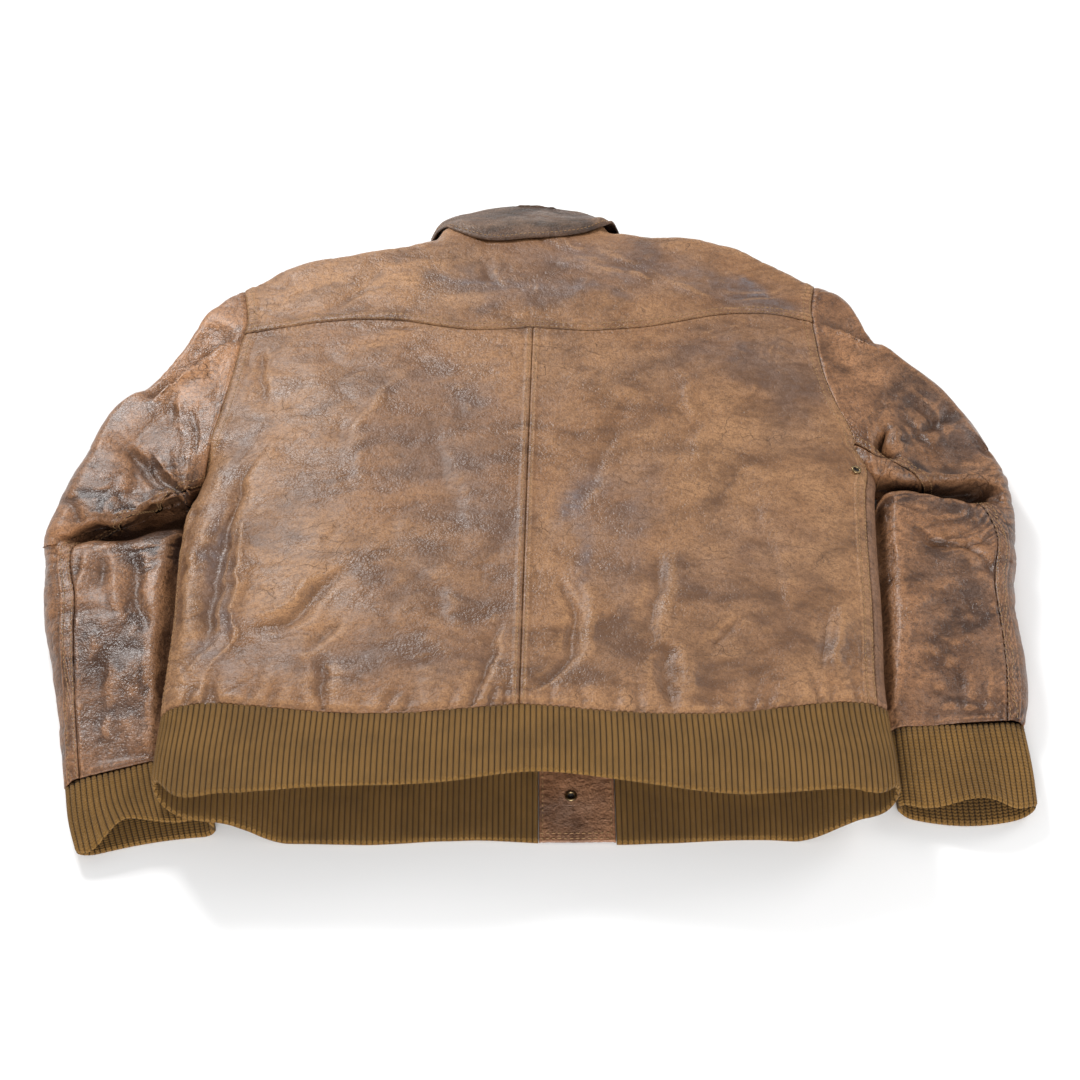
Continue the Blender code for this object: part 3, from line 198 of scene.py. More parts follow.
SLEEVE_BENDS = [
    (-0.0040, 0.0100, [(-0.398, -0.032), (-0.383, -0.044), (-0.359, -0.067)]),
    (-0.0052, 0.0050, [(-0.350, 0.020), (-0.335, 0.002), (-0.322, -0.010), (-0.312, -0.016)]),
    (-0.0072, 0.0050, [(-0.328, 0.004), (-0.306, -0.012), (-0.286, -0.022)]),
    (-0.0014, 0.0060, [(-0.327, 0.080), (-0.315, 0.041), (-0.304, 0.012)]),
    (-0.0014, 0.0050, [(-0.303, 0.067), (-0.292, 0.028), (-0.290, 0.005)]),
    (0.0010, 0.0060, [(-0.318, 0.078), (-0.306, 0.041)]),
    (-0.0024, 0.0070, [(-0.368, 0.041), (-0.348, 0.015), (-0.330, -0.010)]),
    (-0.0050, 0.0103, [(-0.333, -0.088), (-0.320, -0.114), (-0.312, -0.149), (-0.299, -0.191)]),
    (0.0020, 0.0103, [(-0.346, -0.100), (-0.336, -0.140), (-0.324, -0.182)]),
    (-0.0030, 0.0069, [(-0.352, -0.094), (-0.349, -0.116), (-0.345, -0.150)]),
    (0.0017, 0.0080, [(-0.366, -0.086), (-0.366, -0.124), (-0.358, -0.166)]),
    (-0.0020, 0.0069, [(-0.338, -0.198), (-0.324, -0.257), (-0.318, -0.300)]),
    (-0.0017, 0.0057, [(-0.300, -0.208), (-0.294, -0.257), (-0.284, -0.290)]),
    (-0.0015, 0.0046, [(-0.310, -0.258), (-0.303, -0.303)]),
    (-0.0015, 0.0046, [(-0.270, -0.240), (-0.266, -0.286)]),
    (-0.0144, 0.0050, [(0.296, 0.040), (0.290, 0.018), (0.303, 0.006)]),
    (0.0042, 0.0040, [(0.304, 0.038), (0.300, 0.020), (0.310, 0.010)]),
    (-0.0054, 0.0060, [(0.319, 0.082), (0.336, 0.056), (0.344, 0.024)]),
    (-0.0060, 0.0055, [(0.318, 0.026), (0.340, 0.047), (0.364, 0.069)]),
    (-0.0036, 0.0050, [(0.300, 0.062), (0.318, 0.040), (0.330, 0.012)]),
    (-0.0036, 0.0050, [(0.368, 0.040), (0.384, 0.004)]),
    (-0.0052, 0.0070, [(0.291, -0.064), (0.315, -0.088), (0.359, -0.088), (0.384, -0.070)]),
    (-0.0040, 0.0070, [(0.342, -0.071), (0.356, -0.105), (0.362, -0.138)]),
    (0.0024, 0.0080, [(0.300, -0.052), (0.330, -0.066), (0.352, -0.062)]),
    (-0.0020, 0.0080, [(0.283, -0.170), (0.313, -0.149), (0.344, -0.149)]),
    (-0.0022, 0.0069, [(0.262, -0.211), (0.291, -0.191), (0.320, -0.201), (0.352, -0.191)]),
    (-0.0017, 0.0057, [(0.318, -0.215), (0.312, -0.262)]),
    (-0.0015, 0.0046, [(0.336, -0.225), (0.330, -0.262)]),
    (-0.0015, 0.0046, [(0.292, -0.225), (0.290, -0.266)]),
    (-0.0022, 0.0069, [(0.276, -0.110), (0.270, -0.190)]),
]

# Cuffs: outer and inner edges at the sleeve seam and at the cuff's end
CUFF = {
    -1: [(0.0, (-0.3425, -0.3210, -0.2455, -0.2905)), (0.5, (-0.3350, -0.3490, -0.2370, -0.3220)),
         (1.0, (-0.3250, -0.3740, -0.2285, -0.3540))],
    1: [(0.0, (0.3600, -0.2640, 0.2575, -0.2700)), (0.5, (0.3590, -0.3010, 0.2560, -0.3030)),
        (1.0, (0.3560, -0.3350, 0.2550, -0.3350))],
}
CUFF_BOW = {-1: -0.004, 1: 0.010}    # how far the middle of the cuff's end reaches past its sides
CUFF_ARCH = {-1: 0.004, 1: 0.009}    # how far the upper layer stands up at the cuff's mouth
ARCH_AT = 0.42           # share of the width where it stands highest
ARCH_HALF = 0.30
ARCH_BACK = 0.006        # how far it draws back there
CUFF_HEIGHT = 0.0200
CUFF_START = 0.003       # share of its length left free at the sleeve seam

# Collar from its left front end round the back to its right front end: neck seam, fold and leaf edge
COLLAR_NECK = [
    (0.0, (-0.0065, 0.2530, 0.0046)), (0.06, (-0.0300, 0.2560, 0.0046)), (0.12, (-0.0550, 0.2770, 0.0046)),
    (0.17, (-0.0750, 0.3085, 0.0050)), (0.215, (-0.0915, 0.3250, 0.0120)), (0.25, (-0.0965, 0.3325, 0.0270)),
    (0.285, (-0.0900, 0.3350, 0.0400)), (0.34, (-0.0700, 0.3365, 0.0440)), (0.53, (-0.0150, 0.3325, 0.0448)),
    (0.66, (0.0300, 0.3360, 0.0445)), (0.74, (0.0520, 0.3385, 0.0420)), (0.785, (0.0655, 0.3400, 0.0290)),
    (0.82, (0.0640, 0.3360, 0.0130)), (0.865, (0.0450, 0.3150, 0.0050)), (0.92, (0.0200, 0.2745, 0.0046)),
    (0.96, (0.0080, 0.2612, 0.0046)), (1.0, (-0.0005, 0.2560, 0.0046))]
COLLAR_FOLD = [
    (0.0, (-0.0065, 0.2860, 0.0066)), (0.06, (-0.0300, 0.2875, 0.0066)), (0.12, (-0.0570, 0.3080, 0.0066)),
    (0.17, (-0.0780, 0.3330, 0.0070)), (0.215, (-0.0925, 0.3460, 0.0110)), (0.25, (-0.0955, 0.3520, 0.0200)),
    (0.285, (-0.0880, 0.3575, 0.0270)), (0.34, (-0.0680, 0.3650, 0.0285)), (0.53, (-0.0120, 0.3760, 0.0290)),
    (0.66, (0.0280, 0.3700, 0.0285)), (0.74, (0.0500, 0.3630, 0.0280)), (0.785, (0.0625, 0.3570, 0.0210)),
    (0.82, (0.0635, 0.3510, 0.0115)), (0.865, (0.0480, 0.3400, 0.0070)), (0.92, (0.0240, 0.3060, 0.0066)),
    (0.96, (0.0100, 0.2900, 0.0066)), (1.0, (-0.0005, 0.2860, 0.0066))]
COLLAR_EDGE = [
    (0.0, (-0.0300, 0.2260, 0.0010)), (0.06, (-0.0550, 0.2350, 0.0010)), (0.12, (-0.0850, 0.2550, 0.0010)),
    (0.17, (-0.1040, 0.2830, 0.0010)), (0.215, (-0.1110, 0.3160, 0.0030)), (0.25, (-0.1080, 0.3330, 0.0170)),
    (0.285, (-0.0985, 0.3330, 0.0370)), (0.34, (-0.0800, 0.3120, 0.0500)), (0.40, (-0.0550, 0.2960, 0.0545)),
    (0.53, (-0.0120, 0.2985, 0.0550)), (0.62, (0.0200, 0.3020, 0.0545)), (0.69, (0.0450, 0.3110, 0.0530)),
    (0.74, (0.0620, 0.3260, 0.0490)), (0.785, (0.0765, 0.3440, 0.0300)), (0.82, (0.0810, 0.3370, 0.0110)),
    (0.865, (0.0780, 0.3000, 0.0010)), (0.92, (0.0640, 0.2600, 0.0010)), (0.96, (0.0450, 0.2400, 0.0010)),
    (1.0, (0.0220, 0.2260, 0.0010))]
COLLAR_STEPS = [0, 0.06, 0.12, 0.17, 0.1925, 0.215, 0.2325, 0.25, 0.2675, 0.285, 0.3125, 0.34, 0.40, 0.465,
                0.53, 0.595, 0.66, 0.70, 0.74, 0.7625, 0.785, 0.8025, 0.82, 0.8425, 0.865, 0.92, 0.96, 1]
COLLAR_BACK = (0.29, 0.78)   # stretch that lies over the yoke
COLLAR_TURN = 0.0028     # half the distance between stand and leaf at the fold
LEAF_BULGE = 0.0020
LEAF_MARGIN = 0.008

PLACKET_WIDTH = 0.055
PLACKET_TOP = 0.240
TAB_END = -0.3600
TAB_STEP = -0.2750       # the strip lies on the fronts above this line
STRIP_AHEAD = 0.015      # the strip rises this much before the fronts do
SNAP_AT = (0.0224, -0.3211)
SNAP_HEIGHT = LEATHER + GAP + LEATHER + 0.0003
SNAP_PROFILE = [(0.0024, 0.0002), (0.0044, 0.0), (0.0046, 0.0004), (0.0042, 0.0012), (0.0034, 0.0015),
                (0.0028, 0.0012), (0.0024, 0.0006)]       # radius and height
EYELET_AT = (0.2615, -0.0198)
EYELET_HEIGHT = 0.0474
EYELET_LEAN = 0.30       # radians, outward down the side
EYELET_PROFILE = [(0.0024, 0.0002), (0.0044, 0.0), (0.0045, 0.0003), (0.0040, 0.0011), (0.0033, 0.0013),
                  (0.0027, 0.0010), (0.0024, 0.0005)]

# Finer form
SEAM_BIAS = 0.55         # how strongly grid lines gather at the seams
SKIN = 0.0016            # leather shell
FADE = 0.34              # share of a crease over which it runs out
STEEP, GENTLE = 0.60, 1.7    # widths of a crease's two sides
TUCK = 0.0016            # the sleeve's head lies this far under the body's edge
TUCK_DROP = 0.0014
LIP_ROUND = 0.0075       # roundness of the lip over the deep fold
FOLD_BOTTOM = 0.0130
LIP_REACH = {-1: 0.022, 1: 0.011}    # how far the lip hangs over
LIP_FADE = 0.050         # distance up the arm over which its push fades
LIP_TOP = 0.024          # height above the fold at which it is pushed fully
HANG_FROM = 0.262        # distance from the middle where it starts
HANG_RUN = 0.020
LEAST_FOLD = 0.006       # least width of the fold
FOLD_LIP = {             # distance from the middle, then front to back place
    -1: [(0.280, -0.026), (0.290, -0.034), (0.306, -0.048), (0.318, -0.054), (0.332, -0.069), (0.347, -0.076),
         (0.362, -0.075), (0.380, -0.086)],
    1: [(0.270, -0.012), (0.281, -0.016), (0.299, -0.023), (0.340, -0.026), (0.373, -0.027), (0.384, -0.036)],
}
FOLD_LOW = {
    -1: [(0.280, -0.086), (0.296, -0.084), (0.308, -0.083), (0.332, -0.087), (0.348, -0.088), (0.364, -0.088),
         (0.380, -0.096)],
    1: [(0.270, -0.030), (0.281, -0.031), (0.309, -0.033), (0.334, -0.038), (0.353, -0.043), (0.377, -0.055),
        (0.385, -0.068)],
}
STEP_FOLD = {            # depth, then both ends of the fold's line
    -1: (0.0125, [(-0.268, 0.161), (-0.326, 0.090)]),
    1: (0.0110, [(0.246, 0.182), (0.292, 0.152)]),
}
WELT = 0.0007            # height of a felled seam
GROOVE = 0.0008          # depth of the seam line
GROOVE_HALF = 0.0009
STITCH_LENGTH = 0.0034
STITCH_PITCH = 0.0043
STITCH_RADIUS = 0.00034
PUCKER = 0.0008          # puckers along the seams
PUCKER_PITCH = 0.0062
PUCKER_REACH = 0.0070
BASE_WAVES = ((0.0019, 0.075, 1), (0.0008, 0.030, 2), (0.00026, 0.011, 9))    # rise, size and seed
CRINKLES = (             # size, depth and seed
    (0.046, 0.0013, 3), (0.026, 0.0009, 4), (0.014, 0.0006, 7), (0.0075, 0.00026, 8),
)
SLEEVE_CRUMPLES = ((0.042, 0.0026, 96), (0.022, 0.0015, 97))
SLEEVE_LENGTH = 0.55
ELBOW_RUN = 0.27         # distance from the armhole to the elbow
WRIST_RUN = 0.52
END_SHARE = 0.08         # of a crease's rise is left at its ends
KNIT_WALL = KNIT * 0.7   # thickness halfway up the ribs
BAND_RIB = 0.0017        # how high the ribs stand
CUFF_RIB = 0.0015
BAND_LOOP = 0.0022       # length of a knitted loop along a rib
CUFF_LOOP = 0.0021
CUFF_LENGTH = 0.055
# How strongly each kind of leather is wrinkled
PLAIN_WEAR, SLEEVE_WEAR, COLLAR_WEAR, STRAP_WEAR, FRONT_WEAR = 1.0, 1.25, 0.35, 0.5, 0.25


def spaced(start, end, count):
    """Positions that lie closer together toward both ends, where the seams are."""
    t = np.linspace(0, 1, count)
    return start + (end - start) * (t - SEAM_BIAS * np.sin(2 * math.pi * t) / (2 * math.pi))


def hashed(i, j, seed):
    """A number from 0 to 1 that looks random but belongs to its cell."""
    v = np.sin(i * 127.1 + j * 311.7 + seed * 74.7) * 43758.5453
    return v - np.floor(v)


def noise(x, y, size, seed=0):
    """Smooth noise from -1 to 1 with cells of the given size."""
    u, v = x / size, y / size
    i, j = np.floor(u), np.floor(v)
    fu, fv = ease(u - i), ease(v - j)
    low = lerp(hashed(i, j, seed), hashed(i + 1, j, seed), fu)
    high = lerp(hashed(i, j + 1, seed), hashed(i + 1, j + 1, seed), fu)
    return 2 * lerp(low, high, fv) - 1


def curve(knots, at):
    """Smooth curve through (position, value) knots."""
    t = np.array([k[0] for k in knots], float)
    y = np.array([k[1] for k in knots], float)
    m = np.gradient(y, t, axis=0)
    x = np.clip(np.asarray(at, float), t[0], t[-1])
    i = np.clip(np.searchsorted(t, x) - 1, 0, len(t) - 2)
    h = t[i + 1] - t[i]
    s = (x - t[i]) / h
    if y.ndim > 1:
        s, h = s[..., None], h[..., None]
    return ((2 * s**3 - 3 * s**2 + 1) * y[i] + (s**3 - 2 * s**2 + s) * h * m[i]
            + (3 * s**2 - 2 * s**3) * y[i + 1] + (s**3 - s**2) * h * m[i + 1])


def ease(a):
    """Soft step from 0 to 1."""
    a = np.clip(a, 0.0, 1.0)
    return a * a * (3 - 2 * a)


def bulge(a):
    """Quarter round: 0 on a rolled edge, 1 past the roll."""
    a = np.clip(a, 0.0, 1.0)
    return np.sqrt(1 - (1 - a) ** 2)


def lerp(a, b, t):
    return a + (b - a) * t


def unit(v):
    return v / np.linalg.norm(v, axis=-1, keepdims=True)


def crease(x, y, rise, half, points):
    """Ridge or trough along a line: steep on one side, soft on the other, running out at both ends."""
    best = np.full(np.shape(x), np.inf)
    along = np.zeros(np.shape(x))
    turn = np.ones(np.shape(x))
    pts = np.array(points, float)
    steps = np.linalg.norm(np.diff(pts, axis=0), axis=1)
    done = np.concatenate([[0], np.cumsum(steps)]) / steps.sum()
    for a, b, s0, s1 in zip(pts[:-1], pts[1:], done[:-1], done[1:]):
        run = b - a
        t = np.clip(((x - a[0]) * run[0] + (y - a[1]) * run[1]) / (run ** 2).sum(), 0, 1)
        dx, dy = x - lerp(a[0], b[0], t), y - lerp(a[1], b[1], t)
        d = np.hypot(dx, dy)
        near = d < best
        along = np.where(near, lerp(s0, s1, t), along)
        turn = np.where(near, np.tanh((run[0] * dy - run[1] * dx) / np.hypot(*run) / (0.4 * half)), turn)
        best = np.minimum(best, d)
    fade = lerp(END_SHARE, 1, ease(along / FADE) * ease((1 - along) / FADE))
    wide = half * (STEEP + (GENTLE - STEEP) * (turn * np.sign(rise) + 1) / 2)
    d = best / wide
    return rise * fade * np.exp(-2.5 * (np.sqrt(d * d + 0.06) - 0.245))


def creases(x, y, rows):
    """Sum of the creases in a list, their lines a little uneven."""
    u = x + 0.0042 * noise(x, y, 0.030, 81) + 0.0018 * noise(x, y, 0.012, 82)
    v = y + 0.0042 * noise(x, y, 0.031, 83) + 0.0018 * noise(x, y, 0.013, 84)
    return sum(crease(u, v, *row) for row in rows)


def back_height(x, y):
    """Upper face of the back lying on the front."""
    across = np.abs(x - curve(CENTRE_SEAM, y)) / HALF_CHEST
    z = curve(CROWN, y) - SIDE_DROP * across ** 2.5
    above = np.maximum(y - curve(RIB_SEAM, x), 0)
    z = z + PUFF * ease((y - curve(RIB_SEAM, x)) / 0.006) * np.exp(-(above / GATHER_REACH) ** 2)
    for g, fall, reach, lean in GATHERS:
        d = (x - g - lean * above) / (GATHER_HALF * (1 + above / reach))
        z = z - fall * ease(above / 0.004) * np.exp(-(above / reach) ** 2) * np.exp(-1.6 * np.abs(d) ** 1.4)
    return z + creases(x, y, CREASES)


def lift(side, y):
    """How far the sides of the front are held up by the sleeve."""
    shut = UNDERARM[side][1]
    return SLEEVE_LIFT * ease((shut - y) / LIFT_RUN)


def front_height(x, y):
    """Underside of the front: on the floor, over the sleeves at its sides and over the collar leaves."""
    side = np.where(x < 0, -1, 1)
    high = np.where(side < 0, lift(-1, y), lift(1, y))
    z = high * ease((np.abs(x) - LIFT_FROM) / LIFT_WIDE)
    leaf = ease((y - LEAF_START[1]) / LEAF_RUN[1]) * ease((LEAF_START[0] - np.abs(x)) / LEAF_RUN[0])
    return z + LEAF_LIFT * leaf


def side_edge(side, y):
    """Silhouette of the body below the armhole."""
    x = np.where(np.asarray(y) < 0.02, curve(SIDE_EDGE[side], y), curve(ARMHOLE[side], y))
    inner = np.abs(curve(ARMHOLE[side], y)) - 0.0012
    return side * np.minimum(np.abs(x), inner)


def section(side, k, y):
    """Outer point round the body: k = 0 centre back, 1 to 3 the rolled side, 4 centre front."""
    edge = side_edge(side, y)
    foot = edge - side * SIDE_ROLL
    k = np.clip(k, 0.0, 4.0)
    turn = np.clip(k - 1, 0, 2) * math.pi / 2
    middle = np.where(k <= 1, curve(CENTRE_SEAM, y), curve(FRONT_EDGE, y))
    x = lerp(middle, foot, np.where(k <= 1, k, 4 - k))
    x = np.where((k > 1) & (k < 3), foot + side * SIDE_ROLL * np.sin(turn), x)
    top, low = back_height(x, y), front_height(x, y)
    mid = (back_height(edge, y) + front_height(edge, y)) / 2
    rise = np.where(k < 2, top - mid, mid - low)
    z = mid + rise * np.cos(turn)
    return np.stack([x, y + 0 * x, z], -1)


def walled(point, a, thick, inward):
    """A point and the one a wall's thickness below it, square to the section."""
    step = 1e-3
    p = point(a)
    d = point(a + step) - point(a - step)
    d[..., 1] = 0
    n = np.stack([-d[..., 2], 0 * d[..., 0], d[..., 0]], -1)
    n = n / np.linalg.norm(n, axis=-1, keepdims=True)
    return p, p + inward * thick * n


def open_amount(side, y):
    """1 where the armhole is open, 0 below the underarm."""
    top, shut = UNDERARM[side]
    return ease((y - shut) / (top - shut))


ROLL_FROM = 0.86         # share of a back panel's width that lies flat
BACK_COLUMNS = np.concatenate([spaced(0, ROLL_FROM, 112), np.linspace(ROLL_FROM, 1, 24)[1:]])
BACK_ROWS = spaced(0, 1, 175)
YOKE_FLAT_ROWS = 50
YOKE_ROLL_ROWS = 14


def back_grid(side, u, y):
    """Back panel: u = 0 centre seam to 1 at the armhole or side seam."""
    seam = SIDE_SEAM[side] - GAP / SIDE_ROLL / 3
    k = np.where(u <= ROLL_FROM, u / ROLL_FROM, 1 + (u - ROLL_FROM) / (1 - ROLL_FROM) * (seam - 1))
    rolled, rolled_in = walled(lambda a: section(side, a, y), k, LEATHER, -side)
    x = lerp(curve(CENTRE_SEAM, y), curve(ARMHOLE[side], y), u)
    flat = np.stack([x, y + 0 * x, back_height(x, y)], -1)
    share = open_amount(side, y)[..., None]
    drop = np.array([0, 0, LEATHER])
    outer, inner = lerp(rolled, flat, share), lerp(rolled_in, flat - drop, share)
    clear = -side * GAP / 2 * (1 - u)
    outer[..., 0] -= clear
    inner[..., 0] -= clear
    return outer, inner


def settle(at_x, x_of_y, guess, rounds=4):
    """Solve y = at_x(x) together with x = x_of_y(y)."""
    y = at_x(guess)
    for _ in range(rounds):
        y = at_x(x_of_y(y))
    return y


def back_x(side, u, y):
    """Where across the body a share of the back panel's width lies."""
    return back_grid(side, u, y)[0][..., 0]


def back_panel(side):
    """Back panel from the waistband to the yoke seam."""
    u, v = np.meshgrid(BACK_COLUMNS, BACK_ROWS)
    near = lerp(-0.012, side * HALF_CHEST, u)
    low = settle(lambda x: curve(RIB_SEAM, x) + SEAM_CLEAR, lambda y: back_x(side, u, y), near)
    high = settle(lambda x: curve(YOKE_SEAM, x) - GAP / 2, lambda y: back_x(side, u, y), near)
    return back_grid(side, u, lerp(low, high, v))


def rib_seam(x, k):
    """Where the knit band begins, round the body."""
    return lerp(curve(RIB_SEAM, x), UNDER_SEAM, ease(k - 2))


FRONT_ROLL_FROM = 0.7    # share of a front panel's width that lies flat


def front_k(side, u):
    """Place round the body for a share of the front panel's width."""
    seam = SIDE_SEAM[side] + GAP / SIDE_ROLL / 3
    rolled = (u - FRONT_ROLL_FROM) / (1 - FRONT_ROLL_FROM)
    return np.where(u <= FRONT_ROLL_FROM, 4 - u / FRONT_ROLL_FROM, 3 - rolled * (3 - seam))


def front_grid(side, u, y):
    """Front panel: u = 0 centre front edge to 1 at the armhole or side seam."""
    k = front_k(side, u)
    rolled, rolled_in = walled(lambda a: section(side, a, y), k, LEATHER, -side)
    x = lerp(curve(FRONT_EDGE, y), curve(ARMHOLE[side], y), u)
    flat = np.stack([x, y + 0 * x, front_height(x, y)], -1)
    share = open_amount(side, y)[..., None]
    rise = np.array([0, 0, LEATHER])
    outer, inner = lerp(rolled, flat, share), lerp(rolled_in, flat + rise, share)
    clear = side * GAP / 2 * (1 - u)
    outer[..., 0] += clear
    inner[..., 0] += clear
    return outer, inner


def neck_share(x):
    """1 across the neck opening, 0 along the shoulders."""
    return ease((NECK_HALF + 0.022 - np.abs(x - NECK_CENTRE)) / 0.022)


def front_top(x):
    """Upper edge of the fronts: the shoulder line, cut lower at the neck."""
    drop = FRONT_NECK_DROP * ease((NECK_HALF + 0.014 - np.abs(x - NECK_CENTRE)) / NECK_HALF)
    return curve(TOP_EDGE, x) - drop


def yoke():
    """Yoke from its seam over the back to the neck and over the rolled shoulders."""
    left = BACK_COLUMNS[::-1]
    u = np.concatenate([left, BACK_COLUMNS[1:]])
    side = np.concatenate([-np.ones(len(left)), np.ones(len(BACK_COLUMNS) - 1)])
    rows = YOKE_FLAT_ROWS + YOKE_ROLL_ROWS + 1
    step = np.arange(rows)[:, None]
    u, side = np.broadcast_arrays(u[None], side[None])

    def x_of_y(y):
        reach = np.where(side < 0, curve(ARMHOLE[-1], y), curve(ARMHOLE[1], y))
        return lerp(curve(CENTRE_SEAM, y), reach, u)

    guess = lerp(-0.008, side * HALF_CHEST, u)
    low = settle(lambda x: curve(YOKE_SEAM, x) + GAP / 2, x_of_y, guess)
    high = settle(lambda x: curve(TOP_EDGE, x), x_of_y, guess)
    share = neck_share(x_of_y(high))
    return shoulder_rows(low, high, share, step, x_of_y, back_height, YOKE_FLAT_ROWS, YOKE_ROLL_ROWS, 1)


def shoulder_rows(low, high, share, step, x_of_y, height, flat_rows, roll_rows, sign):
    """Rows of a panel up to the shoulder roll, with wall points that stay on the armhole line."""
    rows = flat_rows + roll_rows
    turn = np.clip((step - flat_rows) / roll_rows, 0, 1) * math.pi / 2
    flat_y = lerp(low, high, step / rows)
    roll_y = np.where(step <= flat_rows, lerp(low, high - SHOULDER_ROLL, step / flat_rows),
                      high - SHOULDER_ROLL + SHOULDER_ROLL * np.sin(turn))
    y = lerp(roll_y, flat_y, share)
    x = x_of_y(y)
    over = height(x, y)
    mid = SHOULDER_MID + sign * GAP / 2
    z_roll = lerp(mid, over, np.cos(turn))
    z = lerp(z_roll, over, share)
    outer = np.stack([x, y, z], -1)
    away = (1 - share) * np.sin(turn)
    y_in = y - LEATHER * away
    down = np.sqrt(np.maximum(1 - away**2, 0.0))
    inner = np.stack([x_of_y(y_in), y_in, z - sign * LEATHER * down], -1)
    return outer, inner


def front_panel(side):
    """Front panel from the waistband to the neck and the underside of the shoulder roll."""
    u = np.concatenate([np.linspace(0, FRONT_ROLL_FROM, 50), np.linspace(FRONT_ROLL_FROM, 1, 24)[1:]])[None]
    flat_rows, roll_rows = 30, 12

    def x_of_y(y):
        return front_grid(side, u, y)[0][..., 0]

    guess = lerp(0.01, side * HALF_CHEST, u)
    rib = settle(lambda x: rib_seam(x, front_k(side, u)) + SEAM_CLEAR, x_of_y, guess)
    level = settle(lambda x: curve(YOKE_SEAM, x) - GAP / 2, x_of_y, guess)
    high = settle(front_top, x_of_y, guess, 8)
    share = neck_share(x_of_y(high))
    v = np.linspace(0, 1, 90)[:, None]
    lower_out, lower_in = front_grid(side, u, lerp(rib, level, v) + 0 * u)
    step = np.arange(1, flat_rows + roll_rows + 1)[:, None]
    upper_out, upper_in = shoulder_rows(level, high, share, step, x_of_y, front_height,
                                        flat_rows, roll_rows, -1)
    return np.concatenate([lower_out, upper_out]), np.concatenate([lower_in, upper_in])


def armhole_edge(side, y):
    """Where the back's edge runs at the armhole: across and height."""
    p = back_grid(side, np.ones(np.shape(y)), y)[0]
    return p[..., 0], p[..., 2]


def fold_depth(side, x, y):
    """1 in the deep fold under the upper arm: a lip hangs over it and the forearm rises out of it."""
    lip, low = curve(FOLD_LIP[side], side * x) + LIP_REACH[side], curve(FOLD_LOW[side], side * x)
    above = y - lip
    t = -above / np.maximum(lip - low, LEAST_FOLD)
    return np.where(above > 0, 1 - bulge(above / LIP_ROUND), 1 - ease((t - 0.30) / 0.95))


def step_fold(side, x, y):
    """The sleeve head folded over itself: the part toward the hem lies over the part behind it."""
    depth, points = STEP_FOLD[side]
    (x0, y0), (x1, y1) = points
    run = np.hypot(x1 - x0, y1 - y0)
    behind = ((x1 - x0) * (y - y0) - (y1 - y0) * (x - x0)) / run * np.sign(x1 - x0)
    at = ((x - x0) * (x1 - x0) + (y - y0) * (y1 - y0)) / run ** 2
    behind = behind + 0.002 * noise(x, y, 0.02, 91)
    share = ease((at + 0.10) / 0.25) * ease((1.25 - at) / 0.2)
    drop = np.where(behind > 0, np.exp(-behind / 0.030) * ease(behind / 0.0022), 0.0)
    swell = 0.25 * np.exp(-(np.minimum(behind, 0) / 0.010) ** 2) * ease((0.004 - behind) / 0.004)
    return depth * share * (swell - drop)


def crumple(run, across, side):
    """Folds that cross the sleeve, mostly near the elbow."""
    u = run + 0.012 * noise(run, across, 0.035, 95 + side)
    total = 0.0
    for size, depth, seed in SLEEVE_CRUMPLES:
        line = 1 - np.abs(noise(u, across * 0.42, size, seed + side))
        total = total + depth * line ** 5 * ease(0.55 + 1.1 * noise(run, across, 0.07, seed + 40 + side))
    elbow = np.exp(-((run - ELBOW_RUN) / 0.10) ** 2)
    wrist = np.exp(-((run - WRIST_RUN) / 0.05) ** 2)
    return total * (0.5 + 0.5 * elbow + 0.35 * wrist)


def sleeve_lid(side, x, y):
    """Height a sleeve may reach where it is tucked under the side of the body."""
    edge = np.abs(side_edge(side, y))
    inside = front_height(side * np.minimum(np.abs(x), edge - 0.004), y) - 0.0020
    beyond = np.maximum(np.abs(x) - edge - 0.003, 0)
    free = ease((y - UNDERARM[side][1] + 0.042) / 0.03)
    return inside + 1.1 * beyond + 0.06 * free


def sleeve_rise(side, s, q):
    """Plan point and upper height of the sleeve at station s, share q of its width."""
    out, inn = curve(SLEEVE_OUTER[side], s), curve(SLEEVE_INNER[side], s)
    chord = out + (inn - out) * q[..., None]
    first_out, first_in = SLEEVE_OUTER[side][0][1], SLEEVE_INNER[side][0][1]
    hole_y = lerp(first_out[1], first_in[1], q)
    edge_x, edge_z = armhole_edge(side, hole_y)
    hole_x = edge_x - side * TUCK * ease(s / -0.01 + 1)
    straight = lerp(first_out[0], first_in[0], q)
    bow = 1 - ease(s / HEAD_RUN)
    x = chord[..., 0] + bow * (hole_x - straight)
    elbow = ease((s - 0.3) / 0.15) * ease((0.7 - s) / 0.15)
    y = chord[..., 1] - SLEEVE_SAG * np.sin(math.pi * np.clip(q, 0, 1)) * elbow
    width = np.linalg.norm(inn - out, axis=-1)
    tucked = TUCK_DROP * ease(1 - s / 0.012)
    high = lerp(edge_z - tucked, curve(SLEEVE_HEIGHT, s), ease(s / 0.2))
    shape = bulge(q * width / OUTER_ROLL) * bulge((1 - q) * width / INNER_ROLL)
    edge = lerp(SHOULDER_MID, SLEEVE_EDGE, ease(s / 0.25))
    settled = ease(s / 0.1)
    z = high + (creases(x, y, SLEEVE_BENDS) + step_fold(side, x, y)) * settled
    z = z - crumple(s * SLEEVE_LENGTH, q * SLEEVE_WIDTH, side) * settled
    deep = fold_depth(side, x, y) * ease((q - 0.10) / 0.22) * ease((s - 0.28) / 0.08) * ease((0.80 - s) / 0.1)
    z = lerp(z, np.minimum(z, FOLD_BOTTOM), deep)
    z = lerp(np.minimum(edge, z), z, shape)
    lid = sleeve_lid(side, x, y)
    z = np.where(s > 0.3, np.minimum(z, np.maximum(lid, FOLD_FLOOR)), z)
    return x, y, z, edge, shape


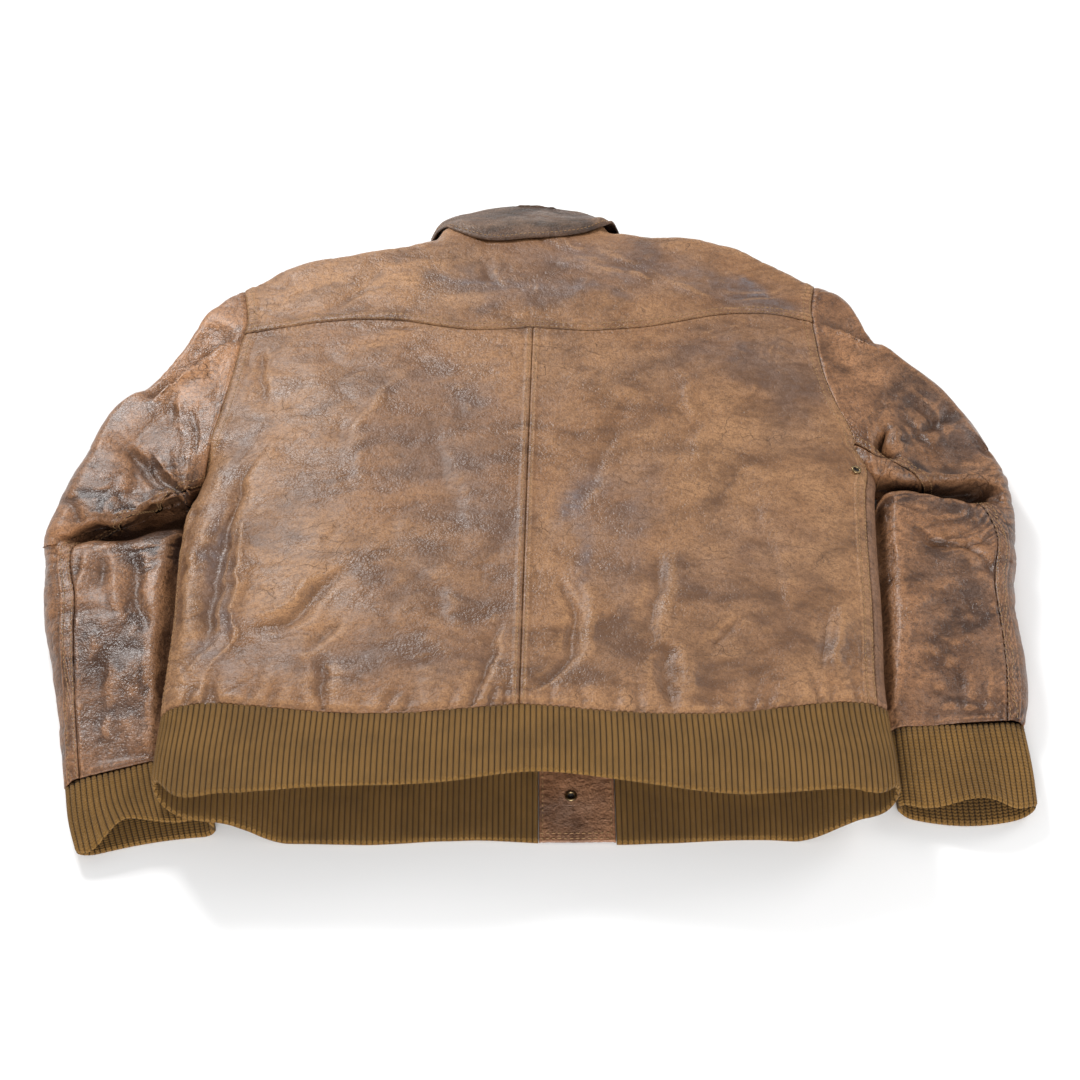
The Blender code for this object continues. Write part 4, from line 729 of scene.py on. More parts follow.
def sleeve_point(side, s, w):
    """Outer point of the sleeve: w 0 to 1 across the top, 1 to 2 back under it."""
    w = np.mod(w, 2.0)
    q = np.where(w <= 1, w, 2 - w)
    x, y, z, edge, shape = sleeve_rise(side, s, q)
    low = np.minimum(edge, z) * (1 - shape)
    return np.stack([x, y, np.where(w <= 1, z, low)], -1)


SLEEVE_ENDS = (0.0005, 0.9997)   # stations that leave the gaps at armhole and cuff
SLEEVE_STATIONS = np.concatenate([spaced(0, 0.42, 80), np.linspace(0.42, 0.60, 90)[1:],
                                  spaced(0.60, 1, 76)[1:]])


def sleeve_panel(side, upper):
    """One of a sleeve's two panels, between the elbow seam on top and the inseam below."""
    seam = curve(ELBOW_SEAM[side], SLEEVE_STATIONS)[:, None]
    half = GAP / 2 / SLEEVE_WIDTH
    if upper:
        w = np.concatenate([lerp(INSEAM - 2 + half, 0.0, np.linspace(0, 1, 12)[None]) + seam * 0,
                            lerp(0.0, seam - half, spaced(0, 1, 60)[None, 1:])], 1)
    else:
        w = np.concatenate([lerp(seam + half, 1.0, spaced(0, 1, 54)[None]),
                            lerp(1.0, INSEAM - half, np.linspace(0, 1, 22)[None, 1:]) + seam * 0], 1)
    s = lerp(*SLEEVE_ENDS, SLEEVE_STATIONS[:, None]) + 0 * w
    return tube_wall(lambda a, b: sleeve_point(side, a, b), s, w, LEATHER)


def tube_wall(point, s, w, thick):
    """Outer points of a sleeve with the wall's inner points on the same ring."""
    step = 2e-3
    p = point(s, w)
    d = point(s, w + step) - point(s, w - step)
    flat = point(s, w * 0 + 1.0) - point(s, w * 0)
    flat[..., 2] = 0
    flat = flat / np.linalg.norm(flat, axis=-1, keepdims=True)
    across = (d * flat).sum(-1)
    rise = d[..., 2]
    size = np.hypot(across, rise) + 1e-12
    n = np.stack([-rise / size, across / size], -1)
    inner = p - thick * (n[..., :1] * flat + n[..., 1:] * np.array([0, 0, 1.0]))
    inner[..., 2] = np.maximum(inner[..., 2], np.where(np.mod(w, 2.0) <= 1, 2 * thick * 0.9, thick * 0.8))
    return p, inner


def band_edge(x, k):
    """Front to back place of the hem edge round the band."""
    return lerp(curve(HEM_TOP, x), curve(HEM_UNDER, x), ease((k - 1) / 2))


def band_section(side, k, y):
    """Section of the band; its front ends stop beside the leather tab."""
    p = section(side, k, y)
    tab = np.clip(k - 3, 0, 1)
    stop = curve(FRONT_EDGE, y) + side * (PLACKET_WIDTH / 2 + GAP)
    foot = side_edge(side, y) - side * SIDE_ROLL
    x = np.where(k > 3, lerp(foot, stop, tab), p[..., 0])
    z = np.where(k > 3, front_height(x, y), p[..., 2])
    return np.stack([x, p[..., 1], z], -1)


def collar():
    """Collar folded over the back neck, its front leaves under the fronts."""
    t = np.array(COLLAR_STEPS, float)
    neck, fold, edge = (curve(rows, t) for rows in (COLLAR_NECK, COLLAR_FOLD, COLLAR_EDGE))
    along = np.gradient(neck + fold, t, axis=0)
    stand = unit(fold - neck)
    up = unit(np.cross(along, stand))
    middle = [neck, lerp(neck, fold, 0.5), fold]
    out = [up, up, up]
    for turn in (45, 90, 135):
        a = math.radians(turn)
        middle.append(fold + COLLAR_TURN * (up * (1 - math.cos(a)) + stand * math.sin(a)))
        out.append(stand * math.sin(a) - up * math.cos(a))
    back = fold + 2 * COLLAR_TURN * up
    face = unit(np.cross(edge - back, along))
    face = face * np.sign((face * up).sum(-1, keepdims=True))
    over = (t > COLLAR_BACK[0]) & (t < COLLAR_BACK[1])
    for share, clear in ((0.0, 0.002), (0.35, 0.0034), (0.7, 0.0026), (1.0, 0.0006)):
        p = lerp(back, edge, share) + face * LEAF_BULGE * math.sin(math.pi * share)
        p[:, 2] = np.maximum(p[:, 2], LEATHER / 2)
        least = back_height(p[:, 0], p[:, 1]) + LEATHER / 2 + clear
        on_yoke = over & (p[:, 1] < curve(TOP_EDGE, p[:, 0]) + LEAF_MARGIN)
        p[:, 2] = np.where(on_yoke, np.maximum(p[:, 2], least), p[:, 2])
        middle.append(p)
        out.append(face)
    out = [-up, -up, -up] + out[3:]
    middle, out = np.stack(middle), np.stack(out)
    return middle + out * LEATHER / 2, middle - out * LEATHER / 2


def wrinkles(p, amount):
    """Dents, soft waves and thin crinkles of worn leather, metres."""
    x, y = p[..., 0] + 0.3 * p[..., 2], p[..., 1] + 0.7 * p[..., 2]
    x, y = x + 0.009 * noise(x, y, 0.032, 5), y + 0.009 * noise(x, y, 0.032, 6)
    rise = sum(height * noise(x, y, size, seed) for height, size, seed in BASE_WAVES)
    for size, depth, seed in CRINKLES:
        line = 1 - np.abs(noise(x * 0.8, y * 1.5, size, seed))
        where = ease(0.45 + 1.0 * noise(x, y, 0.050, seed + 20))
        rise = rise - depth * line ** 8 * where
    return amount * rise


def grid_normals(p, inner):
    """Unit normals of a grid of points, away from its inner side."""
    n = unit(np.cross(np.gradient(p, axis=1), np.gradient(p, axis=0)) + 1e-15)
    return n * np.sign(((p - inner) * n).sum(-1).mean())


def edge_distances(p):
    """Distance along the grid from its first and last column and its first and last row."""
    across = np.linalg.norm(np.diff(p, axis=1), axis=-1)
    across = np.concatenate([np.zeros((len(p), 1)), np.cumsum(across, axis=1)], 1)
    along = np.linalg.norm(np.diff(p, axis=0), axis=-1)
    along = np.concatenate([np.zeros((1, p.shape[1])), np.cumsum(along, axis=0)])
    return {"left": across, "right": across[:, -1:] - across, "start": along, "end": along[-1:] - along}


def seam_relief(distance, pucker, offsets, raised):
    """Rounded edge at a seam, with a raised felled band and the pull of its stitch rows."""
    rise = -GROOVE * np.exp(-(distance / GROOVE_HALF) ** 2)
    if raised:
        width = max(offsets) + 0.0018
        rise = rise + WELT * (1 - ease((distance - width) / 0.0014))
    for offset in offsets:
        rise = rise - 0.00028 * np.exp(-((distance - offset) / 0.0007) ** 2)
    reach = PUCKER_REACH if raised else 0.6 * PUCKER_REACH
    return rise + pucker * np.exp(-((distance - 0.004) / reach) ** 2)


def shape_panel(outer, inner, seams, amount):
    """Fine form of a leather panel: seams maps an edge to its stitch rows and whether its band is raised."""
    n = grid_normals(outer, inner)
    distances = edge_distances(outer)
    rise = wrinkles(outer, amount)
    near = np.minimum.reduce([distances[e] for e in seams] or [np.ones(outer.shape[:2])])
    rise = rise * lerp(0.45, 1.0, ease(near / 0.02))
    x, y = outer[..., 0], outer[..., 1] + outer[..., 2]
    for index, (edge, (offsets, raised)) in enumerate(seams.items()):
        run = distances["start"] if edge in ("left", "right") else distances["left"]
        phase = 2 * math.pi * run / PUCKER_PITCH + 2.6 * noise(x, y, 0.02, 40 + index)
        wave = (0.5 + 0.5 * np.sin(phase)) ** 1.6 - 0.4
        pucker = PUCKER * min(amount, 1.0) * wave * ease(0.55 + noise(x, y, 0.035, 50 + index))
        rise = rise + seam_relief(distances[edge], pucker, offsets, raised)
    shaped = outer + n * rise[..., None]
    n = grid_normals(shaped, inner)
    return shaped, shaped - n * SKIN, n


def ridge_of(p, n, reach=3):
    """How sharply the surface stands out (+) or falls in (-) at each point, about -1 to 1."""
    total = np.zeros(p.shape[:2])
    for axis in (0, 1):
        back = np.roll(p, reach, axis)
        front = np.roll(p, -reach, axis)
        bend = ((p - (back + front) / 2) * n).sum(-1)
        size = np.linalg.norm(front - back, axis=-1) + 1e-6
        inside = np.arange(p.shape[axis])
        inside = (inside >= reach) & (inside < p.shape[axis] - reach)
        total += np.where(inside[:, None] if axis == 0 else inside[None], bend / size * 6, 0)
    return np.clip(total, -1, 1)


def painted(p, patches):
    """Grey wear; dark grime, and painted shade in the sleeves' deep folds; light rubbed leather, and painted
    highlights on the collar: soft patches, each 0 to 1.
    """
    x, y = p[..., 0], p[..., 1]
    x, y = (x + 0.012 * noise(x, y, 0.024, 61) + 0.005 * noise(x, y, 0.009, 62),
            y + 0.012 * noise(x, y, 0.026, 63) + 0.005 * noise(x, y, 0.009, 64))
    tones = np.zeros((*p.shape[:2], 3))
    for cx, cy, rx, ry, turn, *strength in patches:
        c, s = math.cos(math.radians(turn)), math.sin(math.radians(turn))
        u, v = (x - cx) * c + (y - cy) * s, (y - cy) * c - (x - cx) * s
        spot = np.exp(-(u / rx) ** 2 - (v / ry) ** 2)
        tones += spot[..., None] * np.array(strength)
    return np.clip(tones, 0, 1)


def placed(made):
    """Put an object in the scene."""
    bpy.context.scene.collection.objects.link(made)
    return made


def solid(name, points, faces, looks):
    """Smooth object on or above the floor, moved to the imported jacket's place."""
    points = np.array(points) + np.array(SHIFT)
    points[:, 2] = np.maximum(points[:, 2], 0)
    mesh = bpy.data.meshes.new(name)
    mesh.from_pydata(points.tolist(), [], faces)
    mesh.polygons.foreach_set("use_smooth", [True] * len(mesh.polygons))
    for look in looks:
        mesh.materials.append(look)
    return placed(bpy.data.objects.new(name, mesh))


def shell(name, outer, inner, look, tones=None, ridge=None, uv=None, ring=False):
    """Closed shell between two grids, with its paint and rib coordinates on the vertices."""
    rows, columns = outer.shape[:2]
    points = np.concatenate([outer.reshape(-1, 3), inner.reshape(-1, 3)])
    half = rows * columns
    index = np.arange(half).reshape(rows, columns)
    last = np.roll(index, -1, axis=1) if ring else index[:, 1:]
    first = index if ring else index[:, :-1]
    a, b, c, d = first[:-1], last[:-1], last[1:], first[1:]
    faces = [np.stack([a, b, c, d], -1).reshape(-1, 4), np.stack([a, d, c, b], -1).reshape(-1, 4) + half]
    faces.append(np.stack([first[0], first[0] + half, last[0] + half, last[0]], -1))
    faces.append(np.stack([first[-1], last[-1], last[-1] + half, first[-1] + half], -1))
    if not ring:
        up, down = index[1:], index[:-1]
        faces.append(np.stack([down[:, 0], up[:, 0], up[:, 0] + half, down[:, 0] + half], -1))
        faces.append(np.stack([down[:, -1], down[:, -1] + half, up[:, -1] + half, up[:, -1]], -1))
    faces = np.concatenate(faces)
    a, b, c = outer[0, 0], outer[0, 1], outer[1, 0]
    if np.dot(np.cross(b - a, c - a), outer[0, 0] - inner[0, 0]) < 0:
        faces = faces[:, ::-1]
    made = solid(name, points, faces.tolist(), [look])
    mesh = made.data
    for key, values in (("tone", tones), ("knit", uv)):
        if values is not None:
            width = values.shape[-1]
            full = np.ones((2 * half, 4))
            full[:half, :width] = values.reshape(half, width)
            full[half:, :width] = values.reshape(half, width)
            layer = mesh.color_attributes.new(key, "FLOAT_COLOR", "POINT")
            layer.data.foreach_set("color", full.ravel())
    if ridge is not None:
        layer = mesh.attributes.new("ridge", "FLOAT", "POINT")
        layer.data.foreach_set("value", np.concatenate([ridge.ravel(), 0 * ridge.ravel()]))
    return made


def offset_path(p, n, edge, offset):
    """Points and normals on a panel at a distance from one of its edges."""
    if edge in ("start", "end"):
        p, n = p.swapaxes(0, 1), n.swapaxes(0, 1)
    if edge in ("right", "end"):
        p, n = p[:, ::-1], n[:, ::-1]
    step = np.linalg.norm(np.diff(p, axis=1), axis=-1)
    run = np.concatenate([np.zeros((len(p), 1)), np.cumsum(step, axis=1)], 1)
    points, normals = [], []
    for row, bent, done in zip(p, n, run):
        at = np.interp(offset, done, np.arange(len(done)))
        i = min(int(at), len(done) - 2)
        points.append(lerp(row[i], row[i + 1], at - i))
        normals.append(lerp(bent[i], bent[i + 1], at - i))
    return np.array(points), unit(np.array(normals))


# Rings of a stitch: place along it, thickness and height above the leather, in shares of its own sizes
STITCH_RINGS = [(-1.0, 0.15, -0.8), (-0.62, 0.85, 0.35), (0.0, 1.0, 0.75), (0.62, 0.85, 0.35),
                (1.0, 0.15, -0.8)]
STITCH_SIDES = 5
STITCH_TILT = 0.07


def along_path(values, run, at):
    """Points or normals at distances along a path."""
    return np.stack([np.interp(at, run, values[:, i]) for i in range(3)], -1)


def stitched(name, paths, look):
    """Separate stitches, each a small rounded thread bent into the leather, along paths of points."""
    turn = 2 * math.pi * np.arange(STITCH_SIDES) / STITCH_SIDES
    verts, faces = [], []
    for points, normals in paths:
        run = np.concatenate([[0], np.cumsum(np.linalg.norm(np.diff(points, axis=0), axis=1))])
        count = int(run[-1] / STITCH_PITCH)
        if count < 1:
            continue
        middles = (np.arange(count) + 0.5) * STITCH_PITCH
        at = along_path(points, run, middles)
        up = unit(along_path(normals, run, middles))
        ahead, behind = along_path(points, run, middles + 0.001), along_path(points, run, middles - 0.001)
        along = unit(ahead - behind + 1e-12)
        side = unit(np.cross(along, up) + 1e-12)
        for m, a, s, u in zip(at, along, side, up):
            tilt = random.uniform(-STITCH_TILT, STITCH_TILT)
            a, s = a + tilt * s, s - tilt * a
            base = len(verts)
            for t, thick, lifted in STITCH_RINGS:
                centre = m + a * t * STITCH_LENGTH / 2 + u * STITCH_RADIUS * lifted
                for angle in turn:
                    verts.append(centre + STITCH_RADIUS * thick * (s * math.cos(angle) + u * math.sin(angle)))
            last = base + (len(STITCH_RINGS) - 1) * STITCH_SIDES
            for low in range(base, last, STITCH_SIDES):
                for k in range(STITCH_SIDES):
                    i, j = low + k, low + (k + 1) % STITCH_SIDES
                    faces.append((i, j, j + STITCH_SIDES, i + STITCH_SIDES))
            faces.append(tuple(base + k for k in reversed(range(STITCH_SIDES))))
            faces.append(tuple(last + k for k in range(STITCH_SIDES)))
    return solid(name, verts, faces, [look])


# Patches of paint: place, half sizes, turn in degrees, then grey wear, dark (grime, and painted shade in the
# sleeves' deep folds) and light (rubbed leather, and painted highlights on the collar)
BACK_PATCHES = [
    (0.000, 0.212, 0.060, 0.007, 4, 0.60, 0.25, 0.0), (-0.055, 0.226, 0.034, 0.006, -12, 0.50, 0.25, 0.0),
    (-0.030, 0.196, 0.040, 0.008, 6, 0.30, 0.45, 0.0), (0.045, 0.218, 0.030, 0.006, -14, 0.45, 0.20, 0.0),
    (-0.075, 0.200, 0.020, 0.018, 0, 0.0, 0.0, 0.6), (0.205, 0.215, 0.022, 0.006, -55, 0.75, 0.10, 0.0),
    (-0.190, 0.235, 0.080, 0.032, 20, 0.0, 0.0, 0.75), (-0.110, 0.215, 0.060, 0.030, 0, 0.0, 0.0, 0.55),
    (-0.010, 0.250, 0.050, 0.040, 0, 0.15, 0.55, 0.0), (0.060, 0.250, 0.060, 0.020, -18, 0.55, 0.35, 0.0),
    (0.110, 0.270, 0.050, 0.022, -14, 0.35, 0.25, 0.0), (0.170, 0.225, 0.050, 0.016, -20, 0.60, 0.35, 0.0),
    (0.030, 0.200, 0.050, 0.020, 0, 0.0, 0.45, 0.1), (0.215, 0.200, 0.030, 0.020, 0, 0.35, 0.45, 0.0),
    (-0.150, 0.180, 0.090, 0.010, 5, 0.0, 0.35, 0.1), (-0.060, 0.230, 0.020, 0.030, 10, 0.25, 0.35, 0.0),
    (0.190, 0.130, 0.060, 0.040, -20, 0.35, 0.55, 0.0), (0.120, 0.110, 0.045, 0.025, 20, 0.15, 0.35, 0.1),
    (0.215, 0.060, 0.030, 0.060, 0, 0.20, 0.40, 0.0), (0.060, 0.080, 0.050, 0.035, 0, 0.05, 0.25, 0.35),
    (0.015, 0.090, 0.020, 0.050, 0, 0.10, 0.30, 0.1), (0.025, -0.075, 0.013, 0.030, -20, 0.80, 0.35, 0.0),
    (0.036, -0.120, 0.012, 0.035, -15, 0.70, 0.35, 0.0), (0.050, -0.045, 0.030, 0.018, 30, 0.30, 0.40, 0.0),
    (0.075, -0.090, 0.016, 0.055, -12, 0.45, 0.30, 0.0), (0.095, 0.000, 0.060, 0.035, 10, 0.05, 0.20, 0.45),
    (0.150, -0.030, 0.050, 0.050, 0, 0.0, 0.15, 0.45), (0.175, -0.110, 0.050, 0.045, 0, 0.20, 0.25, 0.1),
    (0.235, -0.090, 0.020, 0.070, 0, 0.0, 0.10, 0.60), (0.110, -0.160, 0.050, 0.030, 0, 0.15, 0.30, 0.15),
    (0.180, -0.205, 0.060, 0.030, 0, 0.10, 0.40, 0.05), (0.120, -0.250, 0.060, 0.020, 0, 0.10, 0.50, 0.0),
    (0.040, -0.235, 0.040, 0.025, 0, 0.10, 0.35, 0.15), (0.060, -0.185, 0.020, 0.035, 0, 0.15, 0.35, 0.1),
    (-0.120, 0.080, 0.055, 0.022, 15, 0.15, 0.45, 0.05), (-0.060, 0.060, 0.050, 0.020, -10, 0.25, 0.40, 0.0),
    (-0.130, 0.010, 0.050, 0.030, 20, 0.20, 0.50, 0.0), (-0.080, -0.020, 0.050, 0.025, 30, 0.20, 0.40, 0.0),
    (-0.050, -0.070, 0.030, 0.040, 0, 0.35, 0.35, 0.0), (-0.200, 0.070, 0.040, 0.050, 10, 0.05, 0.20, 0.35),
    (-0.180, -0.080, 0.060, 0.050, 10, 0.05, 0.20, 0.40), (-0.252, 0.010, 0.016, 0.060, 5, 0.35, 0.45, 0.0),
    (-0.256, -0.110, 0.010, 0.060, 5, 0.75, 0.25, 0.0), (-0.242, -0.200, 0.010, 0.040, 0, 0.55, 0.25, 0.0),
    (-0.200, -0.150, 0.030, 0.050, 20, 0.0, 0.10, 0.35), (-0.185, -0.235, 0.050, 0.022, 5, 0.10, 0.40, 0.05),
    (-0.090, -0.160, 0.060, 0.050, -10, 0.10, 0.35, 0.20), (-0.100, -0.240, 0.080, 0.028, 0, 0.15, 0.60, 0.0),
    (-0.040, -0.200, 0.030, 0.050, 0, 0.10, 0.40, 0.10), (-0.025, -0.110, 0.010, 0.060, 0, 0.10, 0.30, 0.1),
    (-0.265, -0.180, 0.010, 0.060, 0, 0.0, 0.10, 0.60), (-0.225, 0.150, 0.020, 0.030, 0, 0.0, 0.15, 0.45),
]
SLEEVE_PATCHES = [
    # The first five patches are painted shade: dark in the deep fold under each upper arm and in the deep
    # crease of the right sleeve's head.
    (-0.312, -0.062, 0.050, 0.015, -14, 0.0, 1.5, 0.0), (0.325, -0.026, 0.060, 0.009, -6, 0.0, 1.4, 0.0),
    (-0.287, -0.055, 0.022, 0.030, 0, 0.0, 1.3, 0.0),
    (-0.290, -0.095, 0.016, 0.030, 0, 0.0, 0.8, 0.0), (0.300, 0.022, 0.012, 0.010, 0, 0.0, 0.9, 0.0),
    (-0.292, 0.135, 0.050, 0.070, 40, 0.0, 0.0, 1.0), (0.290, 0.130, 0.035, 0.045, -30, 0.0, 0.0, 0.9),
    (-0.310, 0.055, 0.030, 0.030, 30, 0.0, 0.0, 0.6),
    (-0.280, 0.170, 0.030, 0.040, 40, 0.0, 0.10, 0.85), (-0.310, 0.100, 0.030, 0.035, 40, 0.0, 0.15, 0.70),
    (-0.350, 0.050, 0.040, 0.020, 40, 0.05, 0.15, 0.45), (-0.330, 0.020, 0.030, 0.020, 20, 0.10, 0.30, 0.25),
    (-0.385, 0.000, 0.015, 0.040, 10, 0.20, 0.25, 0.0), (-0.375, -0.045, 0.030, 0.020, 0, 0.10, 0.60, 0.0),
    # The patch at (-0.330, -0.100) is painted shade in the hollow of the left elbow.
    (-0.300, -0.020, 0.025, 0.015, 0, 0.05, 0.35, 0.45), (-0.330, -0.100, 0.035, 0.030, 0, 0.10, 0.80, 0.0),
    (-0.370, -0.130, 0.020, 0.040, 0, 0.10, 0.20, 0.50), (-0.300, -0.180, 0.030, 0.040, 0, 0.05, 0.40, 0.35),
    (-0.350, -0.220, 0.015, 0.060, 0, 0.25, 0.30, 0.25), (-0.310, -0.270, 0.030, 0.030, 0, 0.35, 0.35, 0.05),
    (0.280, 0.180, 0.025, 0.035, -30, 0.15, 0.30, 0.35), (0.300, 0.110, 0.030, 0.030, -30, 0.0, 0.20, 0.55),
    (0.340, 0.075, 0.030, 0.025, -30, 0.30, 0.35, 0.10), (0.370, 0.030, 0.020, 0.030, -20, 0.65, 0.25, 0.0),
    (0.310, 0.030, 0.025, 0.020, 0, 0.05, 0.25, 0.50), (0.330, -0.015, 0.045, 0.010, 0, 0.20, 0.30, 0.35),
    (0.330, -0.050, 0.050, 0.014, -10, 0.20, 0.85, 0.0), (0.375, -0.060, 0.018, 0.020, 0, 0.60, 0.30, 0.0),
    (0.300, -0.110, 0.025, 0.030, 0, 0.05, 0.30, 0.40), (0.340, -0.130, 0.030, 0.030, 0, 0.30, 0.40, 0.10),
    (0.290, -0.190, 0.030, 0.040, 0, 0.15, 0.35, 0.25), (0.350, -0.200, 0.020, 0.050, 0, 0.20, 0.30, 0.40),
    (0.300, -0.250, 0.040, 0.020, 0, 0.25, 0.50, 0.05),
]
COLLAR_PATCHES = [
    # The light share of these patches is painted highlight along the collar.
    (-0.060, 0.318, 0.030, 0.006, 0, 0.0, 0.0, 0.7), (-0.015, 0.330, 0.024, 0.005, 0, 0.7, 0.0, 0.3),
    (-0.050, 0.345, 0.030, 0.006, 10, 0.1, 0.7, 0.0), (0.020, 0.322, 0.034, 0.004, 4, 0.0, 0.7, 0.0),
    (0.000, 0.352, 0.030, 0.006, 0, 0.7, 0.0, 0.3), (0.045, 0.340, 0.020, 0.010, -20, 0.0, 0.6, 0.0),
    (-0.020, 0.306, 0.050, 0.003, 2, 0.0, 0.5, 0.0), (0.010, 0.366, 0.040, 0.004, 0, 0.0, 0.6, 0.0),
]
STRAP_PATCHES = [
    (0.022, -0.330, 0.015, 0.020, 0, 0.5, 0.3, 0.0), (0.035, -0.350, 0.015, 0.012, 0, 0.2, 0.5, 0.3),
]


def added(tree, kind, **settings):
    """New shader node with its settings."""
    node = tree.nodes.new(kind)
    for key, value in settings.items():
        setattr(node, key, value)
    return node


def feed(tree, socket, value):
    """Link an output, or set a number or colour, on an input socket."""
    if isinstance(value, bpy.types.NodeSocket):
        tree.links.new(value, socket)
    elif isinstance(value, tuple) and len(value) == 3 and socket.type == "RGBA":
        socket.default_value = (*value, 1)
    else:
        socket.default_value = value


def math_of(tree, operation, a, b=0.0, clamp=False):
    node = added(tree, "ShaderNodeMath", operation=operation, use_clamp=clamp)
    feed(tree, node.inputs[0], a)
    feed(tree, node.inputs[1], b)
    return node.outputs[0]


def times(tree, a, b):
    return math_of(tree, "MULTIPLY", a, b)


def plus(tree, a, b, clamp=False):
    return math_of(tree, "ADD", a, b, clamp)


def noise_of(tree, coords, scale, detail, roughness=0.55, distortion=0.0):
    node = added(tree, "ShaderNodeTexNoise")
    feed(tree, node.inputs["Vector"], coords)
    settings = {"Scale": scale, "Detail": detail, "Roughness": roughness, "Distortion": distortion}
    for key, value in settings.items():
        node.inputs[key].default_value = value
    return node.outputs["Fac"]


def mapped(tree, value, low, high, out_low, out_high):
    node = added(tree, "ShaderNodeMapRange", interpolation_type="SMOOTHSTEP")
    for socket, number in zip(node.inputs[:5], (value, low, high, out_low, out_high)):
        feed(tree, socket, number)
    return node.outputs[0]


def mixed(tree, factor, a, b):
    node = added(tree, "ShaderNodeMix", data_type="RGBA", blend_type="MIX")
    feed(tree, node.inputs[0], factor)
    feed(tree, node.inputs[6], a)
    feed(tree, node.inputs[7], b)
    return node.outputs[2]


def new_material(name):
    made = bpy.data.materials.new(name)
    made.use_nodes = True
    tree = made.node_tree
    return made, tree, tree.nodes["Principled BSDF"]


def embossed(tree, shader, height, strength, distance):
    """Let a height stand out on the surface."""
    bump = added(tree, "ShaderNodeBump")
    bump.inputs["Strength"].default_value = strength
    bump.inputs["Distance"].default_value = distance
    feed(tree, bump.inputs["Height"], height)
    feed(tree, shader.inputs["Normal"], bump.outputs[0])


def painted_values(tree, name):
    """The three values that each vertex carries under a name."""
    parts = added(tree, "ShaderNodeSeparateColor")
    feed(tree, parts.inputs[0], added(tree, "ShaderNodeAttribute", attribute_name=name).outputs["Color"])
    return parts.outputs


def uneven(tree, drawn, coords):
    """Coordinates bent by a coarse noise, so that cracks run unevenly."""
    coarse = added(tree, "ShaderNodeTexNoise")
    feed(tree, coarse.inputs["Vector"], coords)
    coarse.inputs["Scale"].default_value = 40.0
    coarse.inputs["Detail"].default_value = 2.0
    twist = added(tree, "ShaderNodeVectorMath", operation="SCALE")
    feed(tree, twist.inputs[0], coarse.outputs["Color"])
    twist.inputs["Scale"].default_value = 0.045
    bent = added(tree, "ShaderNodeVectorMath", operation="ADD")
    feed(tree, bent.inputs[0], drawn)
    feed(tree, bent.inputs[1], twist.outputs[0])
    return bent.outputs[0]


def crack_lines(tree, coords, scale, width):
    """Thin lines between irregular cells: 1 on a line, 0 beside it."""
    cells = added(tree, "ShaderNodeTexVoronoi", feature="DISTANCE_TO_EDGE")
    feed(tree, cells.inputs["Vector"], coords)
    cells.inputs["Scale"].default_value = scale
    return mapped(tree, cells.outputs["Distance"], 0.0, width, 1.0, 0.0)


